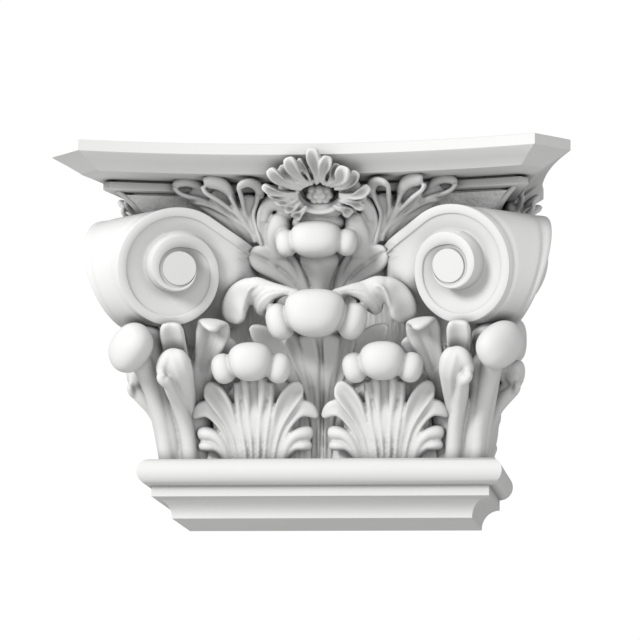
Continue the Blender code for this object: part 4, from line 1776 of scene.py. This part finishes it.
@dataclass(frozen=True)
class Studio:
    """Camera, lights and floor.

    Angles are in degrees, focal and image in the photograph's pixels and sensor in millimetres.
    """

    azimuth: float = 7.18
    below: float = 9.27
    roll: float = 0.65
    target: Pair = (-0.0151, 0.1821)
    distance: float = 3.391
    reach: float = 20.0
    focal: float = 3945.0
    image: float = 640.0
    sensor: float = 36.0
    aim: Triple = (0.0, 0.0, 0.16)
    key: Lamp = Lamp("key", (-2.2, -2.4, 1.6), 1.1, 110.0)
    fill: Lamp = Lamp("fill", (1.6, -2.8, 0.5), 2.0, 26.0)
    ambient: float = 0.4
    backdrop: float = 0.62
    floor: float = -1.2
    floor_half: float = 4.0

    def camera(self, layout: Layout) -> None:
        """Set the camera at the photograph's angle.

        Args:
            layout: Gives the wall, which the camera aims at.
        """
        turn, tilt, roll = (math.radians(value) for value in (self.azimuth, self.below, self.roll))
        level = math.cos(tilt)
        back = Vector((math.sin(turn) * level, -math.cos(turn) * level, -math.sin(tilt)))
        right = Vector((math.cos(turn), math.sin(turn), 0.0))
        up = right.cross(-back)
        rolled_right = math.cos(roll) * right + math.sin(roll) * up
        rolled_up = -math.sin(roll) * right + math.cos(roll) * up
        data = bpy.data.cameras.new("camera")
        data.sensor_width = self.sensor
        data.lens = self.focal * self.sensor / self.image
        data.clip_end = self.reach
        item = new_object("camera", data)
        place = Matrix((rolled_right, rolled_up, back)).transposed().to_4x4()
        aim = Vector((self.target[0], layout.wall, self.target[1]))
        place.translation = aim + back * self.distance
        item.matrix_world = place
        bpy.context.scene.camera = item

    def hang(self, lamp: Lamp) -> None:
        """Hang a lamp and turn it to the piece.

        Args:
            lamp: The lamp.
        """
        data = bpy.data.lights.new(lamp.name, "AREA")
        data.shape = "SQUARE"
        data.size = lamp.size
        data.energy = lamp.power
        item = new_object(lamp.name, data)
        item.location = lamp.at
        way = Vector(lamp.at) - Vector(self.aim)
        item.rotation_euler = way.to_track_quat("Z", "Y").to_euler()

    def light(self) -> None:
        """Light the piece as the photograph does: soft, from the front, left and above."""
        bpy.context.scene.view_settings.view_transform = "Standard"
        self.hang(self.key)
        self.hang(self.fill)
        world = bpy.data.worlds.new("studio")
        bpy.context.scene.world = world
        world.use_nodes = True
        nodes = Nodes(world.node_tree)
        seen = nodes.add("ShaderNodeLightPath", "Is Camera Ray")
        back = world.node_tree.nodes["Background"]
        white = (1, 1, 1, 1)
        nodes.feed(back, {"Color": white, "Strength": seen * self.backdrop + self.ambient})

    def ground(self, plaster: bpy.types.Material) -> None:
        """Lay the pale floor, far below the camera's view.

        Args:
            plaster: Its finish.
        """
        mesh = bmesh.new()
        bmesh.ops.create_grid(mesh, x_segments=1, y_segments=1, size=self.floor_half)
        bmesh.ops.translate(mesh, verts=mesh.verts[:], vec=(0, 0, self.floor))
        floor = as_piece(mesh, "floor")
        floor.data.materials.append(plaster)


@dataclass(frozen=True)
class Capital:
    """The whole capital. The cells are how fine each carved piece's skin is, in millimetres."""

    layout: Layout
    corner_cell: float = 1.1
    calyx_cell: float = 0.9
    flank_cell: float = 1.3
    flower_cell: float = 0.9
    bud_cell: float = 0.6
    flank_calyx_relief: float = 0.9

    def half(self, sign: int, name: str) -> list[bpy.types.Object]:
        """Model the pieces of one half.

        Args:
            sign: 1 for the right half, -1 for the left.
            name: The half's name.

        Returns:
            The finished objects.
        """
        layout = self.layout
        front, flank = (Face(layout, side, sign) for side in (Side.FRONT, Side.FLANK))
        volute = Volute(layout).piece(sign, f"volute_{name}")
        lower = Clay(f"lower_leaf_{name}")
        LowerLeaf().carve(lower, front)
        corner = Clay(f"corner_leaf_{name}", self.corner_cell)
        CornerLeaf(layout).carve(corner, sign)
        calyx = Clay(f"calyx_{name}", self.calyx_cell)
        Calyx().carve(calyx, front)
        Calyx().corner_roll(calyx, layout, sign)
        leaves = Clay(f"flank_leaves_{name}", self.flank_cell)
        LowerLeaf().carve(leaves, flank)
        MiddleLeaf().carve(leaves, flank, (1,))
        Calyx().carve(leaves, replace(flank, relief=self.flank_calyx_relief))
        pieces = [volute, lower.piece(layout), corner.piece(layout)]
        pieces += [calyx.piece(layout, smooth=2), leaves.piece(layout)]
        LOG.info("carved the %s half", name)
        return pieces

    def pieces(self) -> list[bpy.types.Object]:
        """Model every piece.

        Returns:
            The finished objects.
        """
        layout = self.layout
        core = Core(layout)
        made = [core.neck(), core.bell(), core.abacus()]
        made += self.half(-1, "left") + self.half(1, "right")
        middle = Clay("middle_leaf")
        MiddleLeaf().carve(middle, Face(layout, Side.FRONT, 1), (-1, 1))
        flower, bud = Clay("flower", self.flower_cell), Clay("flower_bud", self.bud_cell)
        Flower(layout).carve(flower)
        Flower(layout).bud(bud)
        made += [middle.piece(layout), flower.piece(layout, smooth=2), bud.piece(layout, smooth=1)]
        return made


def main() -> None:
    """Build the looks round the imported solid."""
    logging.basicConfig(level=logging.INFO, format="%(message)s")
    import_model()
    layout = Layout.from_frame()
    # Each plaster paints shade into its colour in the hollows: the bell's plaster less, the
    # flower's more.
    plaster = Plaster().material("cast_plaster")
    combed = Plaster(streaks=0.0022, tight=0.14, broad=0.0).material("combed_plaster")
    painted_shade = Plaster(tight=0.64, broad=0.34).material("deep_painted_shade_plaster")
    special = {"bell": combed, "flower": painted_shade, "flower_bud": painted_shade}
    for item in Capital(layout).pieces():
        item.data.materials.clear()
        item.data.materials.append(special.get(item.name, plaster))
        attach(item, BODY)
        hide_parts(NODE)
        LOG.info("%s: %d faces", item.name, len(item.data.polygons))
    studio = Studio()
    studio.camera(layout)
    studio.light()
    studio.ground(plaster)


if __name__ == "__main__":
    main()
